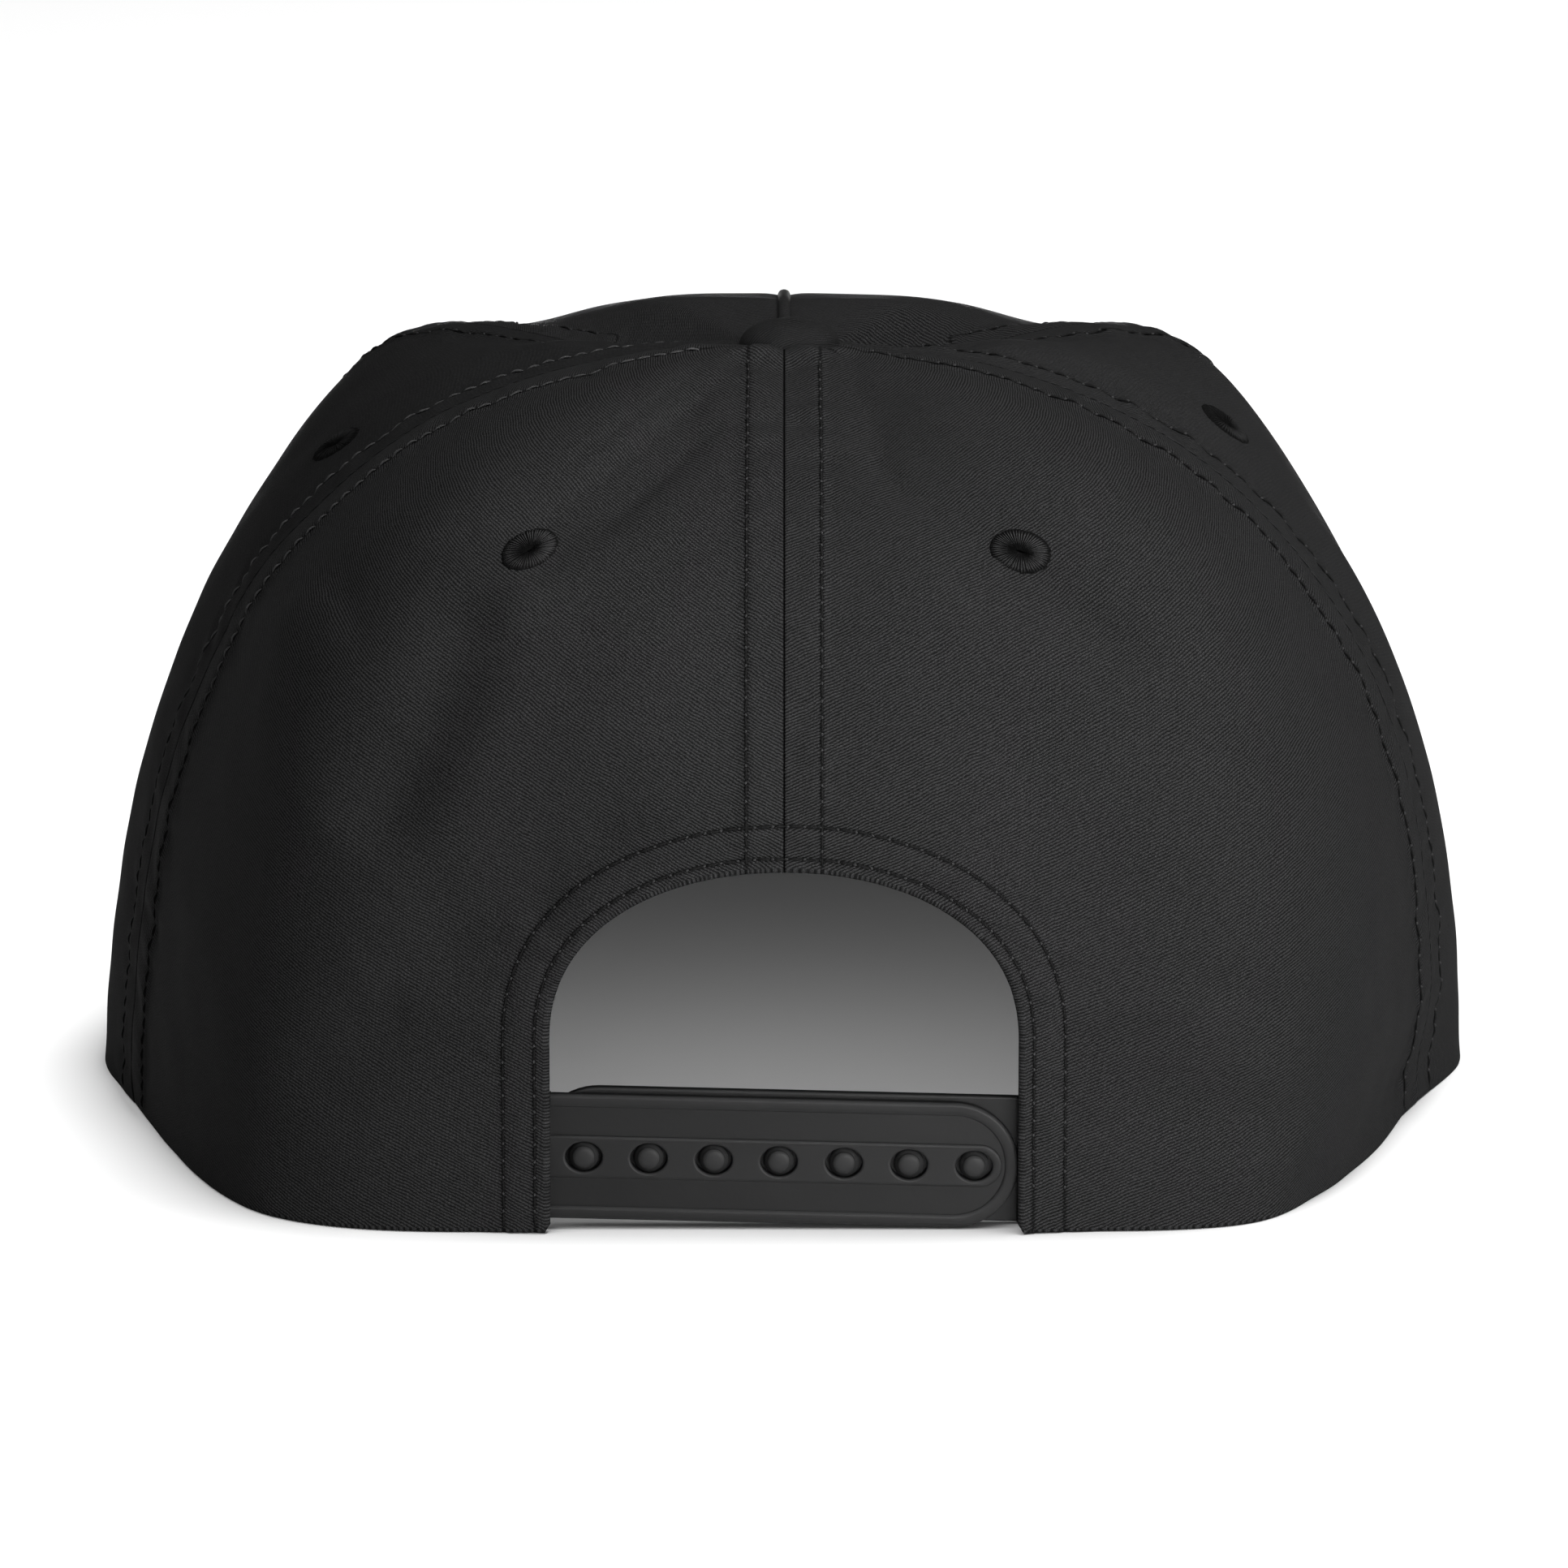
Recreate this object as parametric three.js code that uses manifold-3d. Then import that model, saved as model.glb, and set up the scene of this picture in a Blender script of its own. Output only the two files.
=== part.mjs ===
// Surf cap seen from behind: a five-panel cloth crown, a curved peak and a snap strap
// that closes an arched opening at the back.
// Millimetres. +Z is up, the back faces -Y and the peak points to +Y.
// The origin lies on the ground under the middle of the cap's length.

import * as THREE from 'three';
import { mergeVertices } from 'three/addons/utils/BufferGeometryUtils.js';
import Module from 'manifold-3d';

const wasm = await Module();
wasm.setup();

// Cloth and clearances
const WALL = 1.2;
const GAP = 0.3;

// Crown: each rib runs from the rim to the top in one upright plane.
// rim_* is its foot, lean and reach are the distances out (as shares of the foot's) of the
// curve's two handles, rise is the height of the first above the foot, brow the second's height.
const CROWN_TOP = 111;
const TOP_Y = 3.7;
const RIBS = [
  { name: 'back_centre', rim_x: 0, rim_y: -68.6, rim_z: 0, lean: 0.96, rise: 63, reach: 1.03, brow: 95.5 },
  { name: 'back_inner', rim_x: 34, rim_y: -69.3, rim_z: 0, lean: 0.95, rise: 62, reach: 0.98, brow: 103 },
  { name: 'back_corner', rim_x: 74, rim_y: -60.5, rim_z: 0, lean: 0.935, rise: 61, reach: 0.94, brow: 110 },
  { name: 'side_seam', rim_x: 94.2, rim_y: -13, rim_z: 0, lean: 0.98, rise: 53, reach: 0.88, brow: 110 },
  { name: 'side_middle', rim_x: 99, rim_y: 17, rim_z: 0, lean: 0.95, rise: 95, reach: 0.55, brow: 114 },
  { name: 'front_seam', rim_x: 81, rim_y: 56, rim_z: 6.5, lean: 0.78, rise: 133, reach: 0.73, brow: 91 },
  { name: 'front_inner', rim_x: 43.5, rim_y: 76, rim_z: 16.5, lean: 0.76, rise: 60, reach: 1.2, brow: 108 },
  { name: 'front_centre', rim_x: 0, rim_y: 82, rim_z: 20.5, lean: 0.84, rise: 60, reach: 1.05, brow: 111 },
];
const HALF_RIBS = RIBS.length - 1;
const RIB_COUNT = 2 * HALF_RIBS;

// Panels: the ribs that bound each one, and its columns of faces
const PANELS = [
  { name: 'back_panel_right', from: 0, to: 3, columns: 14, color: 0x2b2b2b },
  { name: 'side_panel_right', from: 3, to: 5, columns: 8, color: 0x282828 },
  { name: 'front_panel', from: 5, to: 9, columns: 18, color: 0x262626 },
  { name: 'side_panel_left', from: 9, to: 11, columns: 8, color: 0x242424 },
  { name: 'back_panel_left', from: 11, to: 14, columns: 14, color: 0x262626 },
];
const PANEL_ROWS = 18;
const TOP_HOLE_R = 2.2;

// The button pulls a dimple into the top and gathers the cloth in a low collar round itself
const DIMPLE_DEPTH = 1;
const DIMPLE_R = 7;
const COLLAR_HEIGHT = 1;
const COLLAR_R = 8.5;
const COLLAR_WIDTH = 3;

// Dents (depth above 0) and bulges (depth below 0) on the back half of the crown, each a soft
// trough along a line seen from behind, from one point (x, z) to another
const FOLDS = [
  { name: 'eyelet_crease_left', x1: -14, z1: 104, x2: -60, z2: 84, width: 4.5, depth: 1.5 },
  { name: 'drag_left', x1: -45, z1: 82, x2: -54, z2: 58, width: 6, depth: 1.8 },
  { name: 'shoulder_left', x1: -70, z1: 76, x2: -66, z2: 60, width: 6, depth: 1.6 },
  { name: 'arch_dent_left', x1: -26, z1: 56, x2: -46, z2: 46, width: 5.5, depth: 2 },
  { name: 'hem_dent_left', x1: -46, z1: 36, x2: -64, z2: 22, width: 7, depth: 1.5 },
  { name: 'eyelet_crease_right', x1: 14, z1: 103, x2: 46, z2: 82, width: 5.5, depth: 1.4 },
  { name: 'drag_right', x1: 46, z1: 82, x2: 70, z2: 66, width: 7, depth: 1.3 },
  { name: 'hem_ripple_right', x1: 52, z1: 19, x2: 70, z2: 14, width: 5, depth: 1.2 },
  { name: 'rim_tuck_right', x1: 78, z1: 0, x2: 90, z2: 4, width: 9, depth: 3.4 },
  { name: 'side_bulge_right', x1: 90, z1: 62, x2: 92, z2: 46, width: 18, depth: -1.2 },
];
const FOLD_FADE_START_Y = -5;
const FOLD_FADE_END_Y = 25;

// Arched opening at the back
const ARCH_HALF_WIDTH = 32.7;
const ARCH_SPRING = 28;
const ARCH_TOP = 51.6;
const ARCH_POWER = 2.2;
const ARCH_SIDES = 28;

// Pinched pleat down the middle of the front
const PINCH_WIDTH = 1.8;
const PINCH_HEIGHT = 1.6;
const PINCH_BOTTOM_V = 0.36;
const PINCH_TOP_V = 0.955;
const PINCH_STEPS = 20;

// Sewn eyelets: where they sit on the crown (along the ribs and up them)
const EYELETS = [
  { name: 'eyelet_back_right', along: 1.348, up: 0.653 },
  { name: 'eyelet_back_left', along: 12.582, up: 0.651 },
  { name: 'eyelet_side_right', along: 3.949, up: 0.531 },
  { name: 'eyelet_side_left', along: 10.299, up: 0.551 },
];
const EYELET_R = 4.4;
const EYELET_BORE_R = 1.4;
const EYELET_THICKNESS = 2;
const EYELET_SIDES = 14;

// Cloth-covered button on the top
const BUTTON_R = 7.25;
const BUTTON_HEIGHT = 3.2;
const BUTTON_BASE = 110.9;
const SHANK_R = 1.6;
const SHANK_LENGTH = 4;
const BUTTON_SIDES = 20;

// Peak: a curved stiff board under the front of the rim
const PEAK_FROM = 4.72;
const PEAK_TO = RIB_COUNT - PEAK_FROM;
const PEAK_THICKNESS = 2.6;
const PEAK_LENGTH = 68;
const PEAK_HALF_WIDTH = 92;
const PEAK_POWER = 2.5;
const PEAK_ROOT_Y = 66;
const PEAK_CROWN_Z = 20.5;
const PEAK_ARCH = 17.2;
const PEAK_DROP = 2.2;
const PEAK_COLUMNS = 28;
const PEAK_ROWS = 6;

// Sweatband: a plain strip inside the rim, from one side of the opening round to the other
const BAND_FROM = 1.17;
const BAND_TO = RIB_COUNT - BAND_FROM;
const BAND_TOP_V = 0.19;
const BAND_THICKNESS = 1;
const BAND_COLUMNS = 48;
const BAND_ROWS = 3;
const BAND_GAP = 0.6;
const BAND_STRAP_CLEARANCE = 2.2;

// Snap strap: two moulded strips, one with holes over one with pegs
const STRAP_HEIGHT = 18;
const STRAP_THICKNESS = 1.7;
const STRAP_FLOOR = 1.3;
const STRAP_BORDER = 1.9;
const STRAP_BAND = 6.1;
const STRAP_CENTRE_Z = 9.8;
const STRAP_TILT = THREE.MathUtils.degToRad(1.4);
const STRAP_LEAN = THREE.MathUtils.degToRad(4.2);
const STRAP_FACE_Y = -66.85;
const HOLE_COUNT = 7;
const HOLE_PITCH = 9.1;
const FIRST_HOLE_X = -28;
const HOLE_HALF_WIDTH = 2.6;
const HOLE_HALF_HEIGHT = 2.3;
const HOLE_SIDES = 14;
const PEG_R = 1.55;
const PEG_PROUD = 0.25;
const PEG_SIDES = 10;
const HOLES_STRAP_END_X = 32.3;
const PEGS_STRAP_END_X = -30;
const PEGS_STRAP_RISE = 0.6;
const TAIL_BEND_X = 35.2;
const TAIL_LINK = 2.4;
const TAIL_END_X = 46;
const TAIL_TURN = 0.9;

const clothMaterial = (color) => new THREE.MeshStandardMaterial({ color, roughness: 0.8, metalness: 0 });
const plasticMaterial = (color) => new THREE.MeshStandardMaterial({ color, roughness: 0.45, metalness: 0 });

function cubic(t, a, b, c, d) {
  const s = 1 - t;
  return s * s * s * a + 3 * s * s * t * b + 3 * s * t * t * c + t * t * t * d;
}

function ribPoint(index, v) {
  const turn = ((index % RIB_COUNT) + RIB_COUNT) % RIB_COUNT;
  const mirrored = turn > HALF_RIBS;
  const rib = RIBS[mirrored ? RIB_COUNT - turn : turn];
  const out = cubic(v, 1, rib.lean, rib.reach, 0);
  const z = cubic(v, rib.rim_z, rib.rim_z + rib.rise, rib.brow, CROWN_TOP);
  return new THREE.Vector3((mirrored ? -1 : 1) * rib.rim_x * out, TOP_Y + (rib.rim_y - TOP_Y) * out, z);
}

function fromTop(point) {
  return Math.hypot(point.x, point.y - TOP_Y);
}

// A smooth closed curve through the ribs at one height
function crownPoint(u, v) {
  const first = Math.floor(u);
  const f = u - first;
  const [before, start, end, after] = [-1, 0, 1, 2].map((step) => ribPoint(first + step, v));
  const leave = end.clone().sub(before).multiplyScalar(0.5);
  const arrive = after.clone().sub(start).multiplyScalar(0.5);
  const point = start.clone().multiplyScalar(2 * f ** 3 - 3 * f ** 2 + 1);
  point.addScaledVector(leave, f ** 3 - 2 * f ** 2 + f);
  point.addScaledVector(end, -2 * f ** 3 + 3 * f ** 2);
  point.addScaledVector(arrive, f ** 3 - f ** 2);
  const radius = fromTop(point);
  point.z -= DIMPLE_DEPTH * Math.exp(-((radius / DIMPLE_R) ** 2));
  point.z += COLLAR_HEIGHT * Math.exp(-(((radius - COLLAR_R) / COLLAR_WIDTH) ** 2));
  return point;
}

function crownTangent(u, v) {
  const step = 0.02;
  return crownPoint(u + step, v).sub(crownPoint(u - step, v)).normalize();
}

function crownNormal(u, v) {
  const step = 0.004;
  const up = crownPoint(u, v + step).sub(crownPoint(u, v - step));
  return crownTangent(u, v).cross(up).normalize();
}

function foldDepth(point) {
  const fade = 1 - THREE.MathUtils.smoothstep(point.y, FOLD_FADE_START_Y, FOLD_FADE_END_Y);
  let depth = 0;
  for (const fold of FOLDS) {
    const run = new THREE.Vector2(fold.x2 - fold.x1, fold.z2 - fold.z1);
    const reach = new THREE.Vector2(point.x - fold.x1, point.z - fold.z1);
    const share = THREE.MathUtils.clamp(reach.dot(run) / run.lengthSq(), 0, 1);
    const distance = reach.addScaledVector(run, -share).length();
    depth += fold.depth * Math.exp(-((distance / fold.width) ** 2));
  }
  return depth * fade;
}

// The crown's surface, moved inward by inset; at the rim it keeps the rim's height
function crownSkin(u, v, inset) {
  const point = crownPoint(u, v);
  const normal = crownNormal(u, v);
  const moved = point.clone().addScaledVector(normal, -inset - foldDepth(point));
  if (v === 0) moved.z = Math.max(point.z, 0);
  return moved;
}

// The share up a rib where the crown comes within radius of the middle
function heightAtRadius(u, radius) {
  let low = 0.5;
  let high = 1;
  while (high - low > 1e-5) {
    const middle = (low + high) / 2;
    if (fromTop(crownPoint(u, middle)) > radius) low = middle;
    else high = middle;
  }
  return low;
}

// A closed body between two sheets of points, each columns by rows faces
function sheetBody(columns, rows, outer, inner) {
  const positions = [];
  const layer = (columns + 1) * (rows + 1);
  for (const sheet of [outer, inner]) {
    for (let i = 0; i <= columns; i += 1) {
      for (let j = 0; j <= rows; j += 1) {
        positions.push(...sheet(i / columns, j / rows).toArray());
      }
    }
  }
  const at = (side, i, j) => side * layer + i * (rows + 1) + j;
  const faces = [];
  const quad = (a, b, c, d) => faces.push(a, b, c, a, c, d);
  for (let i = 0; i < columns; i += 1) {
    for (let j = 0; j < rows; j += 1) {
      quad(at(0, i, j), at(0, i + 1, j), at(0, i + 1, j + 1), at(0, i, j + 1));
      quad(at(1, i, j), at(1, i, j + 1), at(1, i + 1, j + 1), at(1, i + 1, j));
    }
    quad(at(0, i, 0), at(1, i, 0), at(1, i + 1, 0), at(0, i + 1, 0));
    quad(at(0, i, rows), at(0, i + 1, rows), at(1, i + 1, rows), at(1, i, rows));
  }
  for (let j = 0; j < rows; j += 1) {
    quad(at(0, 0, j), at(0, 0, j + 1), at(1, 0, j + 1), at(1, 0, j));
    quad(at(0, columns, j), at(1, columns, j), at(1, columns, j + 1), at(0, columns, j + 1));
  }
  const geometry = new THREE.BufferGeometry();
  geometry.setAttribute('position', new THREE.Float32BufferAttribute(positions, 3));
  geometry.setIndex(faces);
  return geometry;
}

function solidOf(geometry) {
  const bare = geometry.clone();
  bare.deleteAttribute('normal');
  bare.deleteAttribute('uv');
  const merged = mergeVertices(bare, 1e-4);
  return new wasm.Manifold(new wasm.Mesh({
    numProp: 3,
    vertProperties: new Float32Array(merged.attributes.position.array),
    triVerts: new Uint32Array(merged.index.array),
  }));
}

function geometryOf(solid) {
  const mesh = solid.getMesh();
  const geometry = new THREE.BufferGeometry();
  geometry.setAttribute('position', new THREE.BufferAttribute(new Float32Array(mesh.vertProperties), 3));
  geometry.setIndex(new THREE.BufferAttribute(new Uint32Array(mesh.triVerts), 1));
  return geometry;
}

function meshOf(name, geometry, material) {
  geometry.computeVertexNormals();
  const mesh = new THREE.Mesh(geometry, material);
  mesh.name = name;
  return mesh;
}

function extruded(shape, depth, segments) {
  return new THREE.ExtrudeGeometry(shape, { depth, bevelEnabled: false, curveSegments: segments });
}

// Cuts the opening through the whole back
function archCutter() {
  const shape = new THREE.Shape();
  shape.moveTo(-ARCH_HALF_WIDTH, -10);
  for (let i = 0; i <= ARCH_SIDES; i += 1) {
    const angle = Math.PI * (1 - i / ARCH_SIDES);
    const bend = (value) => Math.sign(value) * Math.abs(value) ** (2 / ARCH_POWER);
    shape.lineTo(ARCH_HALF_WIDTH * bend(Math.cos(angle)),
      ARCH_SPRING + (ARCH_TOP - ARCH_SPRING) * bend(Math.sin(angle)));
  }
  shape.lineTo(ARCH_HALF_WIDTH, -10);
  shape.closePath();
  const depth = 40;
  return solidOf(extruded(shape, depth, 1).rotateX(Math.PI / 2).translate(0, -40, 0));
}

// Moves a body that stands along +Y at the origin to an eyelet's place, square to the cloth
function placeAtEyelet(geometry, eyelet) {
  const place = crownSkin(eyelet.along, eyelet.up, WALL / 2);
  const normal = crownNormal(eyelet.along, eyelet.up);
  const turn = new THREE.Quaternion().setFromUnitVectors(new THREE.Vector3(0, 1, 0), normal);
  return geometry.applyQuaternion(turn).translate(place.x, place.y, place.z);
}

function eyeletCutter(eyelet) {
  const height = 12;
  const cylinder = new THREE.CylinderGeometry(EYELET_R + GAP, EYELET_R + GAP, height, EYELET_SIDES);
  return solidOf(placeAtEyelet(cylinder, eyelet));
}

function eyeletMesh(eyelet) {
  const half = EYELET_THICKNESS / 2;
  const width = EYELET_R - EYELET_BORE_R;
  const side = [
    [EYELET_BORE_R, 0.5 * half],
    [EYELET_BORE_R + 0.3 * width, half],
    [EYELET_R - 0.2 * width, 0.9 * half],
    [EYELET_R, 0.4 * half],
  ];
  const profile = [
    ...side.map(([r, y]) => new THREE.Vector2(r, -y)),
    ...side.toReversed().map(([r, y]) => new THREE.Vector2(r, y)),
  ];
  profile.push(profile[0].clone());
  const ring = solidOf(placeAtEyelet(new THREE.LatheGeometry(profile, EYELET_SIDES), eyelet));
  return meshOf(eyelet.name, geometryOf(ring), clothMaterial(0x1c1c1c));
}

// Raised pleat along the front centre rib, sunk into the panel that carries it
function pinchBody() {
  const sheet = (crest, edge) => (a, b) => {
    const v = THREE.MathUtils.lerp(PINCH_BOTTOM_V, PINCH_TOP_V, a);
    const side = 2 * b - 1;
    const height = THREE.MathUtils.lerp(crest, edge, side * side) * Math.min(1, 0.2 + 5 * a);
    const point = crownSkin(HALF_RIBS, v, -height);
    point.x += (side * PINCH_WIDTH) / 2;
    return point;
  };
  const depth = -WALL / 2;
  return solidOf(sheetBody(PINCH_STEPS, 2, sheet(PINCH_HEIGHT, 0.6 * PINCH_HEIGHT), (a, b) => {
    const point = sheet(0, 0)(a, b);
    const v = THREE.MathUtils.lerp(PINCH_BOTTOM_V, PINCH_TOP_V, a);
    return point.addScaledVector(crownNormal(HALF_RIBS, v), depth);
  }));
}

function panelBody(panel) {
  const skin = (inset) => (a, b) => {
    const u = THREE.MathUtils.lerp(panel.from, panel.to, a);
    const v = b * heightAtRadius(u, TOP_HOLE_R);
    const point = crownSkin(u, v, inset);
    if (a === 0) point.addScaledVector(crownTangent(u, v), GAP / 2);
    if (a === 1) point.addScaledVector(crownTangent(u, v), -GAP / 2);
    return point;
  };
  return solidOf(sheetBody(panel.columns, PANEL_ROWS, skin(0), skin(WALL)));
}

function panelMesh(panel) {
  let body = panelBody(panel);
  if (panel.name.startsWith('back')) body = body.subtract(archCutter());
  if (panel.name.startsWith('front')) body = body.add(pinchBody());
  for (const eyelet of EYELETS) {
    if (eyelet.along > panel.from && eyelet.along < panel.to) body = body.subtract(eyeletCutter(eyelet));
  }
  return meshOf(panel.name, geometryOf(body), clothMaterial(panel.color));
}

function buttonMesh() {
  const profile = [new THREE.Vector2(0, -SHANK_LENGTH), new THREE.Vector2(SHANK_R, -SHANK_LENGTH)];
  profile.push(new THREE.Vector2(SHANK_R, 0), new THREE.Vector2(BUTTON_R - 0.4, 0));
  const arcs = 6;
  for (let i = 0; i < arcs; i += 1) {
    const angle = (i / arcs) * (Math.PI / 2);
    profile.push(new THREE.Vector2(BUTTON_R * Math.cos(angle) ** 0.8, 0.5 + (BUTTON_HEIGHT - 0.5) * Math.sin(angle)));
  }
  profile.push(new THREE.Vector2(0, BUTTON_HEIGHT));
  const body = new THREE.LatheGeometry(profile, BUTTON_SIDES).rotateX(Math.PI / 2);
  body.translate(0, TOP_Y, BUTTON_BASE);
  return meshOf('button', geometryOf(solidOf(body)), clothMaterial(0x2e2e2e));
}

// Height of the peak's top over the point (x, y) outside the crown
function peakTop(x, y) {
  const arch = PEAK_ARCH * (x / PEAK_HALF_WIDTH) ** 2;
  return PEAK_CROWN_Z - arch - PEAK_DROP * Math.max(0, (y - PEAK_ROOT_Y) / PEAK_LENGTH) - GAP;
}

function peakMesh() {
  const outline = (a) => {
    const angle = Math.PI * a;
    const bend = (value) => Math.sign(value) * Math.abs(value) ** (2 / PEAK_POWER);
    const tip = RIBS[HALF_RIBS].rim_y + PEAK_LENGTH;
    return new THREE.Vector2(PEAK_HALF_WIDTH * bend(Math.cos(angle)),
      PEAK_ROOT_Y + (tip - PEAK_ROOT_Y) * bend(Math.sin(angle)));
  };
  const top = (a, b) => {
    const u = THREE.MathUtils.lerp(PEAK_FROM, PEAK_TO, a);
    const root = crownSkin(u, 0, WALL);
    const rim = outline(a);
    const x = THREE.MathUtils.lerp(root.x, rim.x, b);
    const y = THREE.MathUtils.lerp(root.y, rim.y, b);
    const z = THREE.MathUtils.lerp(root.z - GAP, peakTop(x, y), THREE.MathUtils.smoothstep(b, 0, 0.5));
    return new THREE.Vector3(x, y, z);
  };
  const under = (a, b) => top(a, b).add(new THREE.Vector3(0, 0, -PEAK_THICKNESS));
  return meshOf('peak', sheetBody(PEAK_COLUMNS, PEAK_ROWS, under, top), clothMaterial(0x282828));
}

// Beside the opening the band steps inward to clear the strap's sewn ends
function bandMesh() {
  const inset = (u) => {
    const fromEnd = Math.min(u - BAND_FROM, BAND_TO - u);
    return WALL + BAND_GAP + BAND_STRAP_CLEARANCE * (1 - THREE.MathUtils.smoothstep(fromEnd, 0.25, 0.8));
  };
  const side = (extra) => (a, b) => {
    const u = THREE.MathUtils.lerp(BAND_FROM, BAND_TO, a);
    return crownSkin(u, b * BAND_TOP_V, inset(u) + extra);
  };
  const body = sheetBody(BAND_COLUMNS, BAND_ROWS, side(0), side(BAND_THICKNESS));
  return meshOf('sweatband', body, clothMaterial(0x333333));
}

// A strip's outline seen from behind: square at one end, round at the other
function stripShape(fromX, roundX, halfHeight) {
  const shape = new THREE.Shape();
  const turn = Math.sign(roundX - fromX);
  const centreX = roundX - turn * halfHeight;
  shape.moveTo(fromX, -halfHeight);
  shape.lineTo(centreX, -halfHeight);
  shape.absarc(centreX, 0, halfHeight, -Math.PI / 2, Math.PI / 2, turn < 0);
  shape.lineTo(fromX, halfHeight);
  shape.closePath();
  return shape;
}

function addHoles(shape) {
  for (let i = 0; i < HOLE_COUNT; i += 1) {
    const hole = new THREE.Path();
    hole.absellipse(FIRST_HOLE_X + i * HOLE_PITCH, 0, HOLE_HALF_WIDTH, HOLE_HALF_HEIGHT, 0, 2 * Math.PI, true);
    shape.holes.push(hole);
  }
  return shape;
}

// Stands a shape up, with its front at depth face and its back at face + thickness
function standing(shape, face, thickness) {
  return solidOf(extruded(shape, thickness, HOLE_SIDES / 2).rotateX(Math.PI / 2).translate(0, face + thickness, 0));
}

// The sewn end of a strip, seen from above: it leaves at depth start and follows the cloth
function tailSolid(side, start, height) {
  const inner = TAIL_BEND_X - TAIL_LINK;
  const plan = new THREE.Shape();
  plan.moveTo(side * inner, start);
  plan.lineTo(side * TAIL_BEND_X, 0);
  plan.lineTo(side * TAIL_END_X, TAIL_TURN);
  plan.lineTo(side * TAIL_END_X, TAIL_TURN + STRAP_THICKNESS);
  plan.lineTo(side * TAIL_BEND_X, STRAP_THICKNESS);
  plan.lineTo(side * inner, start + STRAP_THICKNESS);
  plan.closePath();
  return solidOf(extruded(plan, height, 1).translate(0, 0, -height / 2));
}

function placeStrap(mesh) {
  mesh.position.set(0, STRAP_FACE_Y, STRAP_CENTRE_Z);
  mesh.rotation.set(-STRAP_LEAN, STRAP_TILT, 0);
  return mesh;
}

// The outer strip: border and middle band stand proud of two channels, holes go through
function holesStrapMesh() {
  const half = STRAP_HEIGHT / 2;
  const relief = STRAP_THICKNESS - STRAP_FLOOR;
  const start = -TAIL_BEND_X + 2;
  const inset = STRAP_BORDER;
  const floor = standing(addHoles(stripShape(start, HOLES_STRAP_END_X, half)), relief, STRAP_FLOOR);
  const border = stripShape(start, HOLES_STRAP_END_X, half);
  border.holes.push(stripShape(start + GAP, HOLES_STRAP_END_X - inset, half - inset));
  const band = addHoles(stripShape(start, HOLES_STRAP_END_X - inset - 1, STRAP_BAND / 2));
  let body = floor.add(standing(border, 0, relief + 0.1)).add(standing(band, 0, relief + 0.1));
  body = body.add(tailSolid(-1, 0, STRAP_HEIGHT));
  return placeStrap(meshOf('strap_holes', geometryOf(body), plasticMaterial(0x303030)));
}

// The inner strip: a plain plate whose pegs fill the holes of the outer one
function pegsStrapMesh() {
  const depth = STRAP_THICKNESS + GAP;
  const half = STRAP_HEIGHT / 2;
  const plate = stripShape(TAIL_BEND_X - TAIL_LINK + 0.5, PEGS_STRAP_END_X, half);
  let body = standing(plate, depth, STRAP_THICKNESS).add(tailSolid(1, depth, STRAP_HEIGHT));
  body = body.translate([0, 0, PEGS_STRAP_RISE]);
  for (let i = 0; i < HOLE_COUNT; i += 1) {
    const length = depth + PEG_PROUD + STRAP_THICKNESS / 2;
    const profile = [
      new THREE.Vector2(0, 0),
      new THREE.Vector2(PEG_R, 0),
      new THREE.Vector2(PEG_R, length - 0.7),
      new THREE.Vector2(0.7 * PEG_R, length - 0.2),
      new THREE.Vector2(0, length),
    ];
    const peg = new THREE.LatheGeometry(profile, PEG_SIDES).rotateX(Math.PI);
    peg.translate(FIRST_HOLE_X + i * HOLE_PITCH, depth + STRAP_THICKNESS / 2, 0);
    body = body.add(solidOf(peg));
  }
  return placeStrap(meshOf('strap_pegs', geometryOf(body), plasticMaterial(0x3a3a3a)));
}

const cap = new THREE.Group();
cap.name = 'surf_cap';
for (const panel of PANELS) cap.add(panelMesh(panel));
for (const eyelet of EYELETS) cap.add(eyeletMesh(eyelet));
cap.add(buttonMesh(), peakMesh(), bandMesh(), holesStrapMesh(), pegsStrapMesh());

// Half-way between the back of the rim and the tip of the peak
const BACK_Y = -69.3;
const TIP_Y = RIBS[HALF_RIBS].rim_y + PEAK_LENGTH;
cap.position.y = -(BACK_Y + TIP_Y) / 2;

export default cap;
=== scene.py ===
"""Surf cap in black twill, seen from behind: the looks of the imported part.

Sizes are millimetres in the crown's own frame (+Z up, the back faces -Y), which OFFSET_Y moves
into the part's frame; place() turns them into metres.
"""

import bpy
import numpy as np
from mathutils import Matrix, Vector
from mathutils.geometry import tessellate_polygon


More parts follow.
